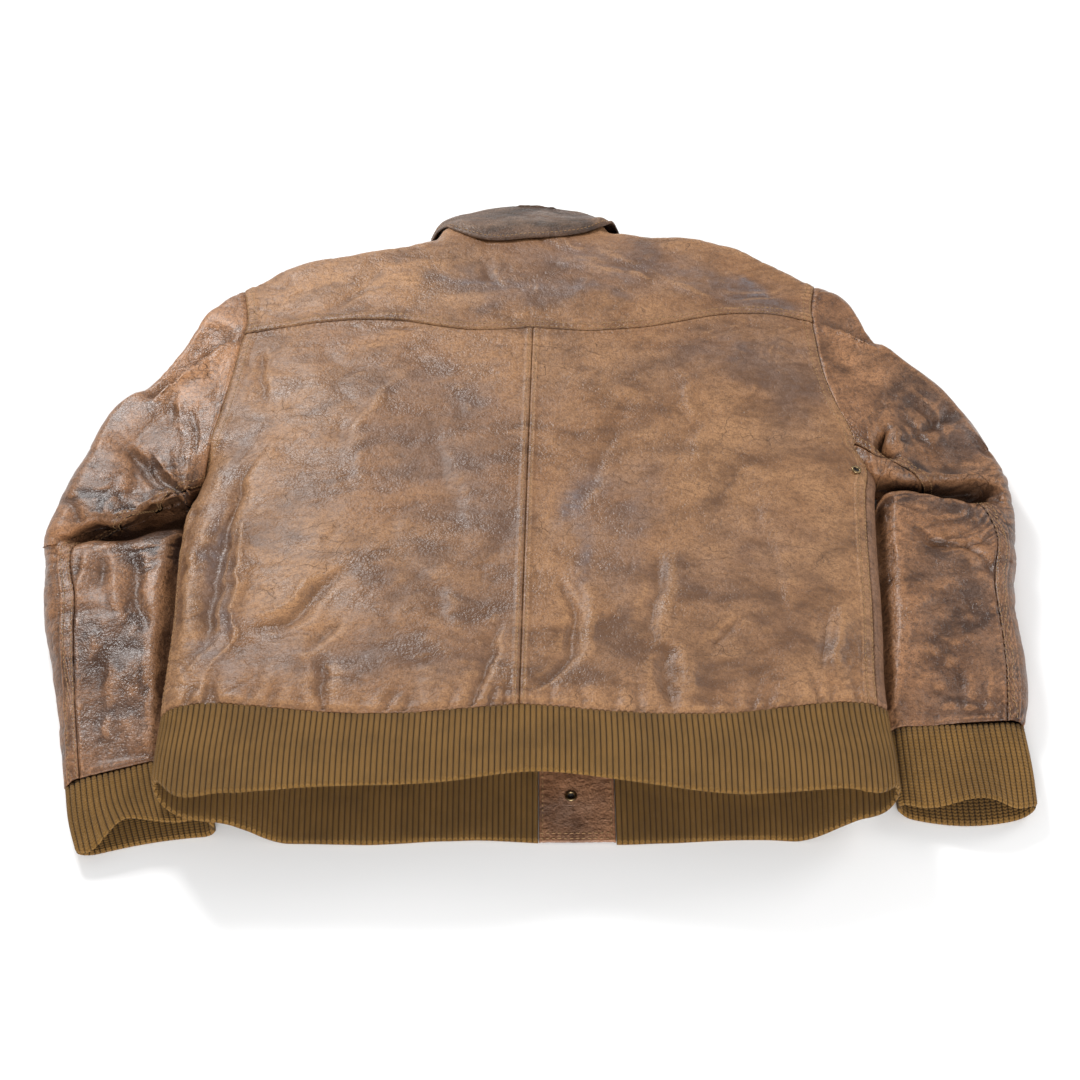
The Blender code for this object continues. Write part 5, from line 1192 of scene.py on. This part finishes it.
def leather(name, base, light, dark, grey, rough, coat, smear=1.7):
    """Worn leather: mottled colour, painted patches, rubbed ridges, painted shade in the hollows of creases,
    grain, cracks and uneven gloss.
    """
    made, tree, shader = new_material(name)
    coords = added(tree, "ShaderNodeTexCoord").outputs["Object"]
    drawn = added(tree, "ShaderNodeVectorMath", operation="MULTIPLY")
    feed(tree, drawn.inputs[0], coords)
    drawn.inputs[1].default_value = (1.0, smear, 1.0)
    drawn = drawn.outputs[0]
    grey_patch, dark_patch, light_patch = painted_values(tree, "tone")
    ridge = added(tree, "ShaderNodeAttribute", attribute_name="ridge").outputs["Fac"]
    broad = noise_of(tree, coords, 10.0, 3, 0.62, 0.7)
    middle = noise_of(tree, drawn, 22.0, 3, 0.50, 0.4)
    small = noise_of(tree, drawn, 80.0, 3, 0.6, 0.3)
    fine = noise_of(tree, coords, 260.0, 2, 0.7)
    speck = noise_of(tree, coords, 950.0, 1, 0.7)

    bent = uneven(tree, drawn, coords)
    where = times(tree, mapped(tree, broad, 0.48, 0.62, 0.0, 1.0), mapped(tree, middle, 0.44, 0.60, 0.0, 1.0))
    crack = times(tree, crack_lines(tree, bent, 30.0, 0.016), where)
    crackle = times(tree, crack_lines(tree, bent, 92.0, 0.050), mapped(tree, small, 0.45, 0.62, 0.0, 1.0))

    cloud = noise_of(tree, drawn, 13.0, 3, 0.55, 0.9)
    # light patches: rubbed leather, and on the collar painted highlights
    rubbed_and_highlit = times(tree, light_patch, mapped(tree, middle, 0.30, 0.60, 0.55, 1.0))
    worn = times(tree, grey_patch, mapped(tree, small, 0.34, 0.62, 0.35, 1.0))
    # dark patches: grime, and painted shade in the sleeves' deep folds
    grime_and_shade = times(tree, dark_patch, mapped(tree, middle, 0.65, 0.35, 0.50, 1.0))
    for pattern, none, full, most in ((cloud, 0.58, 0.28, 0.60), (middle, 0.54, 0.26, 0.45),
                                      (small, 0.60, 0.28, 0.30)):
        grime_and_shade = plus(tree, grime_and_shade, mapped(tree, pattern, none, full, 0.0, most), True)
    layers = (
        (mapped(tree, broad, 0.36, 0.66, 0.0, 0.45), light),
        (mapped(tree, middle, 0.45, 0.75, 0.0, 0.45), light),
        (rubbed_and_highlit, light),
        (times(tree, grime_and_shade, 0.85), dark),
        # where the painted dark passes 0.8, as in the sleeves' painted fold shade, the colour goes nearly to
        # the dark colour
        (mapped(tree, dark_patch, 0.80, 1.0, 0.0, 0.85), dark),
        (worn, grey),
        (mapped(tree, ridge, 0.08, 0.60, 0.0, 0.40), light),
        # painted shade: darker where the surface falls in, in the hollows of creases and folds
        (mapped(tree, ridge, -0.15, -0.80, 0.0, 0.32), dark),
        (times(tree, crack, 0.40), dark),
        (times(tree, crackle, 0.14), dark),
        (mapped(tree, fine, 0.58, 0.28, 0.0, 0.50), dark),
        (mapped(tree, speck, 0.58, 0.28, 0.0, 0.50), dark),
    )
    colour = base
    for share, over in layers:
        colour = mixed(tree, share, colour, over)
    feed(tree, shader.inputs["Base Color"], colour)
    gloss = mapped(tree, middle, 0.3, 0.7, rough - 0.10, rough + 0.12)
    gloss = math_of(tree, "SUBTRACT", gloss, times(tree, worn, 0.12))
    feed(tree, shader.inputs["Roughness"], gloss)
    shader.inputs["Specular IOR Level"].default_value = 0.34
    shader.inputs["Coat Weight"].default_value = coat
    shader.inputs["Coat Roughness"].default_value = 0.24
    grain = added(tree, "ShaderNodeTexVoronoi", feature="F1")
    feed(tree, grain.inputs["Vector"], coords)
    grain.inputs["Scale"].default_value = 560.0
    height = times(tree, crack, -0.5)
    shares = ((crackle, -0.14), (grain.outputs["Distance"], 0.26), (fine, 0.9), (small, 1.3), (middle, 1.2))
    for part, share in shares:
        height = plus(tree, height, times(tree, part, share))
    embossed(tree, shader, height, 1.0, 0.0011)
    return made


FUZZ_COLOUR = (0.46, 0.31, 0.15)


def knit_material(name, base, dark):
    """Rib knit: rows of small V stitches on each rib, painted shade between the ribs and between the loops,
    with a soft fuzz.
    """
    made, tree, shader = new_material(name)
    coords = added(tree, "ShaderNodeTexCoord").outputs["Object"]
    across, along, depth = painted_values(tree, "knit")
    slant = math_of(tree, "ABSOLUTE", math_of(tree, "SUBTRACT", math_of(tree, "FRACT", across), 0.5))
    phase = plus(tree, along, times(tree, slant, 1.3))
    loops = math_of(tree, "SINE", times(tree, phase, 2 * math.pi))
    fuzz = noise_of(tree, coords, 1300.0, 2, 0.7)
    cloudy = noise_of(tree, coords, 30.0, 3, 0.6)
    # painted shade in the grooves between the ribs
    colour = mixed(tree, mapped(tree, depth, 0.15, 0.85, 0.95, 0.0), base, dark)
    # painted shade between the knitted loops
    colour = mixed(tree, mapped(tree, loops, -1.0, 0.2, 0.30, 0.0), colour, dark)
    colour = mixed(tree, mapped(tree, cloudy, 0.35, 0.7, 0.0, 0.30), colour, dark)
    colour = mixed(tree, mapped(tree, fuzz, 0.45, 0.75, 0.0, 0.25), colour, FUZZ_COLOUR)
    feed(tree, shader.inputs["Base Color"], colour)
    shader.inputs["Roughness"].default_value = 0.95
    shader.inputs["Specular IOR Level"].default_value = 0.08
    shader.inputs["Sheen Weight"].default_value = 0.06
    shader.inputs["Sheen Roughness"].default_value = 0.5
    height = plus(tree, times(tree, loops, 0.5), times(tree, fuzz, 0.6))
    embossed(tree, shader, height, 0.7, 0.0006)
    return made


def plain_material(name, colour, rough, metal=0.0):
    """Thread, brass or the dark disc of painted shade in the hole of the snap and eyelet, with slight
    mottling.
    """
    made, tree, shader = new_material(name)
    coords = added(tree, "ShaderNodeTexCoord").outputs["Object"]
    spots = noise_of(tree, coords, 700.0, 3)
    darker = tuple(c * 0.6 for c in colour)
    mottled = mixed(tree, mapped(tree, spots, 0.4, 0.7, 0.0, 0.6), colour, darker)
    feed(tree, shader.inputs["Base Color"], mottled)
    shader.inputs["Roughness"].default_value = rough
    shader.inputs["Metallic"].default_value = metal
    return made


BACK = leather("back_leather", (0.280, 0.132, 0.056), (0.480, 0.255, 0.118), (0.100, 0.046, 0.021),
               (0.175, 0.146, 0.148), 0.48, 0.04, 1.5)
FRONT = leather("front_leather", (0.210, 0.105, 0.055), (0.340, 0.180, 0.100), (0.085, 0.042, 0.024),
                (0.160, 0.130, 0.122), 0.50, 0.03)
SLEEVE = leather("sleeve_leather", (0.170, 0.074, 0.032), (0.470, 0.228, 0.104), (0.030, 0.012, 0.006),
                 (0.160, 0.128, 0.118), 0.42, 0.08, 1.1)
COLLAR = leather("collar_leather", (0.115, 0.058, 0.032), (0.330, 0.205, 0.130), (0.020, 0.011, 0.007),
                 (0.215, 0.170, 0.145), 0.50, 0.0)
STRAP = leather("strap_leather", (0.350, 0.160, 0.078), (0.460, 0.245, 0.135), (0.100, 0.045, 0.024),
                (0.200, 0.160, 0.140), 0.42, 0.10, 1.0)
# The second colour is the painted shade of the grooves and loops, and also the darker cloudy tone.
KNIT_WOOL = knit_material("knit", (0.218, 0.114, 0.031), (0.036, 0.018, 0.006))
THREAD = plain_material("thread", (0.340, 0.200, 0.090), 0.7)
BRASS = plain_material("brass", (0.27, 0.19, 0.10), 0.38, 1.0)
# painted shade: the dark disc at the bottom of the snap's and eyelet's hole
HOLE_SHADE = plain_material("hollow", (0.012, 0.009, 0.007), 0.8)

TOPSTITCH = (0.0016, 0.0078)
CENTRE_ROWS = (0.0030,)
OPEN_EDGE = ((), False)
HEM_EDGE = ((0.0062,), False)


def ridden(made, nodes):
    """Attach a piece to the root body and hide the imported parts it stands for."""
    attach(made, "root")
    if nodes:
        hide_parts(*nodes)
    return made


def leather_piece(name, grids, look, seams, patches, amount=PLAIN_WEAR):
    """Shape, paint, stitch and declare one leather panel."""
    outer, inner = grids
    shaped, under, n = shape_panel(outer, inner, seams, amount)
    made = shell(f"{name}_skin", shaped, under, look, painted(shaped, patches), ridge_of(shaped, n))
    ridden(made, [name])
    rows = [(edge, offset) for edge, (offsets, _) in seams.items() for offset in offsets]
    paths = [offset_path(shaped, n, edge, offset) for edge, offset in rows]
    if paths:
        ridden(stitched(f"{name}_stitches", paths, THREAD), [])


def rib_profile(t):
    """Rise of a rib across its width, 0 in the grooves to 1 on its crown."""
    return (1 - np.abs(2 * (t % 1.0) - 1) ** 3.2) ** 0.85


# Where across a rib its columns lie
RIB_CUTS = np.array([0.0, 0.07, 0.22, 0.5, 0.78, 0.93])


def knit_shell(middle, n, ribs_at, rows_at, rise, rounded):
    """Ribbed wall about a middle surface; rounded gives how far each row is from the folded edge."""
    rib = rib_profile(ribs_at)
    half = KNIT_WALL / 2 * bulge(rounded / (KNIT_WALL / 2 + rise))
    swell = half + rise * (rib - 0.5) * np.clip(half / KNIT_WALL * 2, 0.2, 1)
    swell = np.maximum(swell, 0.0001)
    uv = np.stack([ribs_at + 0 * half, rows_at + 0 * half, rib + 0 * half], -1)
    return middle + n * swell[..., None], middle - n * swell[..., None], uv


def band_grid(side):
    """Middle surface of half the waistband, from the back's centre round to the tab."""
    probe = np.linspace(0, 4, 900)
    p = band_section(side, probe, BAND_MIDDLE + 0 * probe)
    run = np.concatenate([[0], np.cumsum(np.linalg.norm(np.diff(p, axis=0), axis=1))])
    ribs = int(run[-1] / RIB_PITCH)
    at = (np.arange(ribs)[:, None] + RIB_CUTS[None]).ravel()
    at = np.append(at, ribs)
    k = np.interp(at / ribs * run[-1], run, probe)
    k, v = np.meshgrid(k, knit_rows(0, 11))
    ribs_at = np.broadcast_to(at[None], k.shape)

    def x_of_y(y):
        return band_section(side, k, y)[..., 0]

    start = settle(lambda x: rib_seam(x, k) - GAP / 2, x_of_y, side * 0.2 + 0 * k)
    end = settle(lambda x: band_edge(x, k), x_of_y, side * 0.2 + 0 * k)
    y = lerp(start, end, v)
    outer, inner = walled(lambda a: band_section(side, a, y), k, KNIT, -side)
    return outer, inner, ribs_at, y, np.abs(y - end)


def waistband_piece():
    """Ribbed band round the whole hem, open at the tab."""
    halves = [band_grid(side) for side in (-1, 1)]
    joined = [np.concatenate([left[:, ::-1], right[:, 1:]], 1) for left, right in zip(*halves)]
    outer, inner, ribs_at, y, rounded = joined
    n = unit(outer - inner)
    x, round_y = outer[..., 0], y + 3 * outer[..., 2]
    sway = 0.0007 * noise(x, round_y, 0.05, 71) + 0.0004 * noise(x, round_y, 0.02, 72)
    middle = (outer + inner) / 2 + n * sway[..., None]
    out, inn, uv = knit_shell(middle, n, ribs_at, y / BAND_LOOP, BAND_RIB, rounded)
    made = shell("waistband_knit", out, inn, KNIT_WOOL, uv=uv)
    ridden(made, ["waistband"])


# Waves of the cuffs' upper mouth edge: share of the width, half width, rise, drawn back
CUFF_WAVES = {
    -1: [(0.10, 0.12, -0.0060, -0.0060), (0.33, 0.12, 0.0030, 0.0030), (0.60, 0.12, 0.0010, -0.0015),
         (0.88, 0.10, 0.0020, 0.0020)],
    1: [(0.16, 0.12, -0.0030, -0.0020), (0.82, 0.14, -0.0020, 0.0)],
}


def knit_rows(start, count):
    """Positions from the seam to the folded edge, closer together where the edge turns."""
    turn = np.linspace(0, math.pi / 2, 6)[1:]
    return np.concatenate([np.linspace(start, 0.9, count), 1 - 0.1 * np.cos(turn)])


def cuff_piece(side, word):
    """Ribbed cuff round the sleeve's end, its upper layer standing up in waves at the mouth."""
    ribs = 2 * CUFF_RIBS
    at = (np.arange(ribs)[:, None] + RIB_CUTS[None]).ravel()
    s, w = np.meshgrid(knit_rows(CUFF_START, 9), at / CUFF_RIBS, indexing="ij")

    def point(s, w):
        w = np.mod(w, 2.0)
        q = np.where(w <= 1, w, 2 - w)
        row = curve(CUFF[side], s)
        out, inn = row[..., :2], row[..., 2:]
        width = np.linalg.norm(inn - out, axis=-1)
        plan = out + (inn - out) * q[..., None]
        shape = bulge(q * width / OUTER_ROLL) * bulge((1 - q) * width / INNER_ROLL)
        edge = CUFF_HEIGHT / 2
        middle = np.sin(math.pi * q)
        upper = w <= 1
        arch = np.where(upper, s**2 * middle * np.exp(-((q - ARCH_AT) / ARCH_HALF) ** 2), 0.0)
        z = np.where(upper, edge + (CUFF_HEIGHT - edge) * shape, edge * (1 - shape)) + CUFF_ARCH[side] * arch
        y = plan[..., 1] - CUFF_BOW[side] * s * middle ** 0.8 + ARCH_BACK * arch
        for place, wide, rise, back in CUFF_WAVES[side]:
            wave = s**2 * shape * np.exp(-((q - place) / wide) ** 2)
            z = z + np.where(upper, rise * wave, 0.0)
            y = y + np.where(upper, back * wave, 0.0)
        return np.stack([plan[..., 0], y, z], -1)

    outer, inner = tube_wall(point, s, w, KNIT)
    n = unit(outer - inner)
    middle = outer - n * KNIT / 2
    loops = s * CUFF_LENGTH / CUFF_LOOP
    out, inn, uv = knit_shell(middle, n, w * CUFF_RIBS, loops, CUFF_RIB, (1 - s) * CUFF_LENGTH)
    out[..., 2] = np.maximum(out[..., 2], 0.0)
    made = shell(f"cuff_{word}_knit", out, inn, KNIT_WOOL, uv=uv, ring=True)
    ridden(made, [f"cuff_{word}"])


def refined(grid, rows, columns):
    """Smooth finer grid through a coarse one."""
    flat = curve([(i, row.ravel()) for i, row in enumerate(grid)], rows)
    turned = flat.reshape(len(rows), *grid.shape[1:]).swapaxes(0, 1)
    flat = curve([(i, row.ravel()) for i, row in enumerate(turned)], columns)
    return flat.reshape(len(columns), len(rows), 3).swapaxes(0, 1)


def collar_piece():
    """Collar with the stitching along its leaf edge."""
    outer, inner = collar()
    rows = np.linspace(0, outer.shape[0] - 1, 54)
    columns = np.linspace(0, outer.shape[1] - 1, 240)
    grids = refined(outer, rows, columns), refined(inner, rows, columns)
    seams = {"end": HEM_EDGE, "left": HEM_EDGE, "right": HEM_EDGE}
    leather_piece("collar", grids, COLLAR, seams, COLLAR_PATCHES,
                  COLLAR_WEAR)


def strip_piece():
    """Strip behind the opening with the tab at its lower end."""
    tab_rows = np.linspace(TAB_END, TAB_STEP - 0.001, 60)
    strip_rows = np.linspace(TAB_STEP + 0.001, PLACKET_TOP, 60)
    y, u = np.meshgrid(np.concatenate([tab_rows, strip_rows]), np.linspace(-1, 1, 50), indexing="ij")
    x = curve(FRONT_EDGE, y) + u * (PLACKET_WIDTH / 2 - GAP / 2)
    rest = front_height(curve(FRONT_EDGE, y), y + STRIP_AHEAD) + LEATHER + GAP
    outer = np.stack([x, y, rest + LEATHER], -1)
    inner = np.stack([x, y, rest], -1)
    seams = {"start": ((0.0030, 0.0075), False), "left": ((0.0030,), False), "right": ((0.0030,), False)}
    leather_piece("placket", (outer, inner), STRAP, seams, STRAP_PATCHES,
                  STRAP_WEAR)


def hardware(name, profile, centre, lean=0.0, facets=48):
    """Turned brass piece, its hole closed by a dark disc of painted shade, replacing its plain solid."""
    rings = []
    for r, h in profile:
        a = 2 * math.pi * np.arange(facets) / facets
        x, y = r * np.cos(a), r * np.sin(a)
        rings.append(np.stack([centre[0] + x * math.cos(lean) + h * math.sin(lean), centre[1] + y,
                               centre[2] + h * math.cos(lean) - x * math.sin(lean)], -1))
    count = len(profile)
    faces = []
    for i in range(count):
        for k in range(facets):
            n = (k + 1) % facets
            j = (i + 1) % count
            faces.append((i * facets + k, i * facets + n, j * facets + n, j * facets + k))
    faces.append(tuple(range(facets)))
    made = solid(f"{name}_ring", np.concatenate(rings), faces, [BRASS, HOLE_SHADE])
    # the cap inside the hole takes the painted shade
    made.data.polygons[len(faces) - 1].material_index = 1
    return ridden(made, [name])


def hang_over(side, grid, outer):
    """Push the upper arm's lip out over the deep fold."""
    p = grid.copy()
    x, y, z = np.moveaxis(outer, -1, 0)
    lip, low = curve(FOLD_LIP[side], side * x) + LIP_REACH[side], curve(FOLD_LOW[side], side * x)
    above = y - lip
    t = -above / np.maximum(lip - low, LEAST_FOLD)
    near = np.where(above > 0, 1 - ease(above / LIP_FADE), 1 - ease((t - 0.25) / 0.5))
    high = np.clip((z - FOLD_BOTTOM) / LIP_TOP, 0, 1)
    inside = ease((np.abs(x) - HANG_FROM) / HANG_RUN)
    p[..., 1] -= LIP_REACH[side] * near * high * inside
    return p


def sleeves():
    """Both sleeves, each of an upper and an under panel."""
    for side, word in SIDES:
        for upper in (True, False):
            outer, inner = sleeve_panel(side, upper)
            outer, inner = hang_over(side, outer, outer), hang_over(side, inner, outer)
            part_name = f"sleeve_{word}_{'upper' if upper else 'under'}"
            elbow = {"right": (TOPSTITCH, True)} if upper else {"left": OPEN_EDGE}
            seams = {"start": OPEN_EDGE, **elbow, "end": OPEN_EDGE}
            leather_piece(part_name, (outer, inner), SLEEVE, seams, SLEEVE_PATCHES,
                          SLEEVE_WEAR)


def body():
    """Backs, yoke and fronts."""
    sewn = (TOPSTITCH, True)
    back_seams = {"left": (CENTRE_ROWS, True), "end": OPEN_EDGE, "start": OPEN_EDGE, "right": sewn}
    for side, word in SIDES:
        leather_piece(f"back_{word}", back_panel(side), BACK, back_seams, BACK_PATCHES)
    yoke_seams = {"start": sewn, "left": sewn, "right": sewn}
    leather_piece("yoke", yoke(), BACK, yoke_seams, BACK_PATCHES)
    for side, word in SIDES:
        seams = {"right": OPEN_EDGE, "start": OPEN_EDGE}
        leather_piece(f"front_{word}", front_panel(side), FRONT, seams, BACK_PATCHES,
                      FRONT_WEAR)


# Lights: name, place, width and power
LIGHTS = (("key", (-0.9, 1.5, 1.5), 0.6, 42.0), ("side", (1.6, 0.6, 1.1), 0.7, 9.0),
          ("front", (0.1, -2.0, 0.8), 1.2, 42.0))
FLOOR_HALF = 6.0
AIR_LIGHT = 0.45
CAMERA_AWAY = 1.40       # from the point it looks at
CAMERA_TILT = math.radians(45)
LOOKED_AT = (0.0, -0.0944, 0.04)
SENSOR_WIDTH = 36.0      # millimetres
FOCAL_LENGTH = 58.33


def studio():
    """Pale floor, soft light and the photograph's camera."""
    mesh = bpy.data.meshes.new("floor")
    corners = [(x * FLOOR_HALF, y * FLOOR_HALF, 0) for x, y in ((-1, -1), (1, -1), (1, 1), (-1, 1))]
    mesh.from_pydata(corners, [], [(0, 1, 2, 3)])
    pale, _, shader = new_material("floor")
    shader.inputs["Base Color"].default_value = (0.95, 0.95, 0.95, 1)
    shader.inputs["Roughness"].default_value = 0.9
    mesh.materials.append(pale)
    floor = placed(bpy.data.objects.new("floor", mesh))
    world = bpy.data.worlds.new("world")
    bpy.context.scene.world = world
    world.use_nodes = True
    world.node_tree.nodes["Background"].inputs["Color"].default_value = (1, 1, 1, 1)
    world.node_tree.nodes["Background"].inputs["Strength"].default_value = AIR_LIGHT
    for label, place, wide, power in LIGHTS:
        light = bpy.data.lights.new(label, "AREA")
        light.energy = power
        light.size = wide
        lamp = placed(bpy.data.objects.new(label, light))
        lamp.location = place
        lamp.rotation_euler = (-Vector(place)).to_track_quat("-Z", "Y").to_euler()
    lens = bpy.data.cameras.new("camera")
    lens.sensor_width = SENSOR_WIDTH
    lens.lens = FOCAL_LENGTH
    camera = placed(bpy.data.objects.new("camera", lens))
    back = Vector((0, -math.sin(CAMERA_TILT), math.cos(CAMERA_TILT))) * CAMERA_AWAY
    camera.location = Vector(LOOKED_AT) + Vector(SHIFT) + back
    camera.rotation_euler = (CAMERA_TILT, 0, 0)
    bpy.context.scene.camera = camera
    bpy.context.scene.view_settings.view_transform = "Standard"


studio()
body()
strip_piece()
sleeves()
collar_piece()
waistband_piece()
for side, word in SIDES:
    cuff_piece(side, word)
hardware("snap", SNAP_PROFILE, (*SNAP_AT, SNAP_HEIGHT))
hardware("eyelet", EYELET_PROFILE, (*EYELET_AT, EYELET_HEIGHT), EYELET_LEAN)
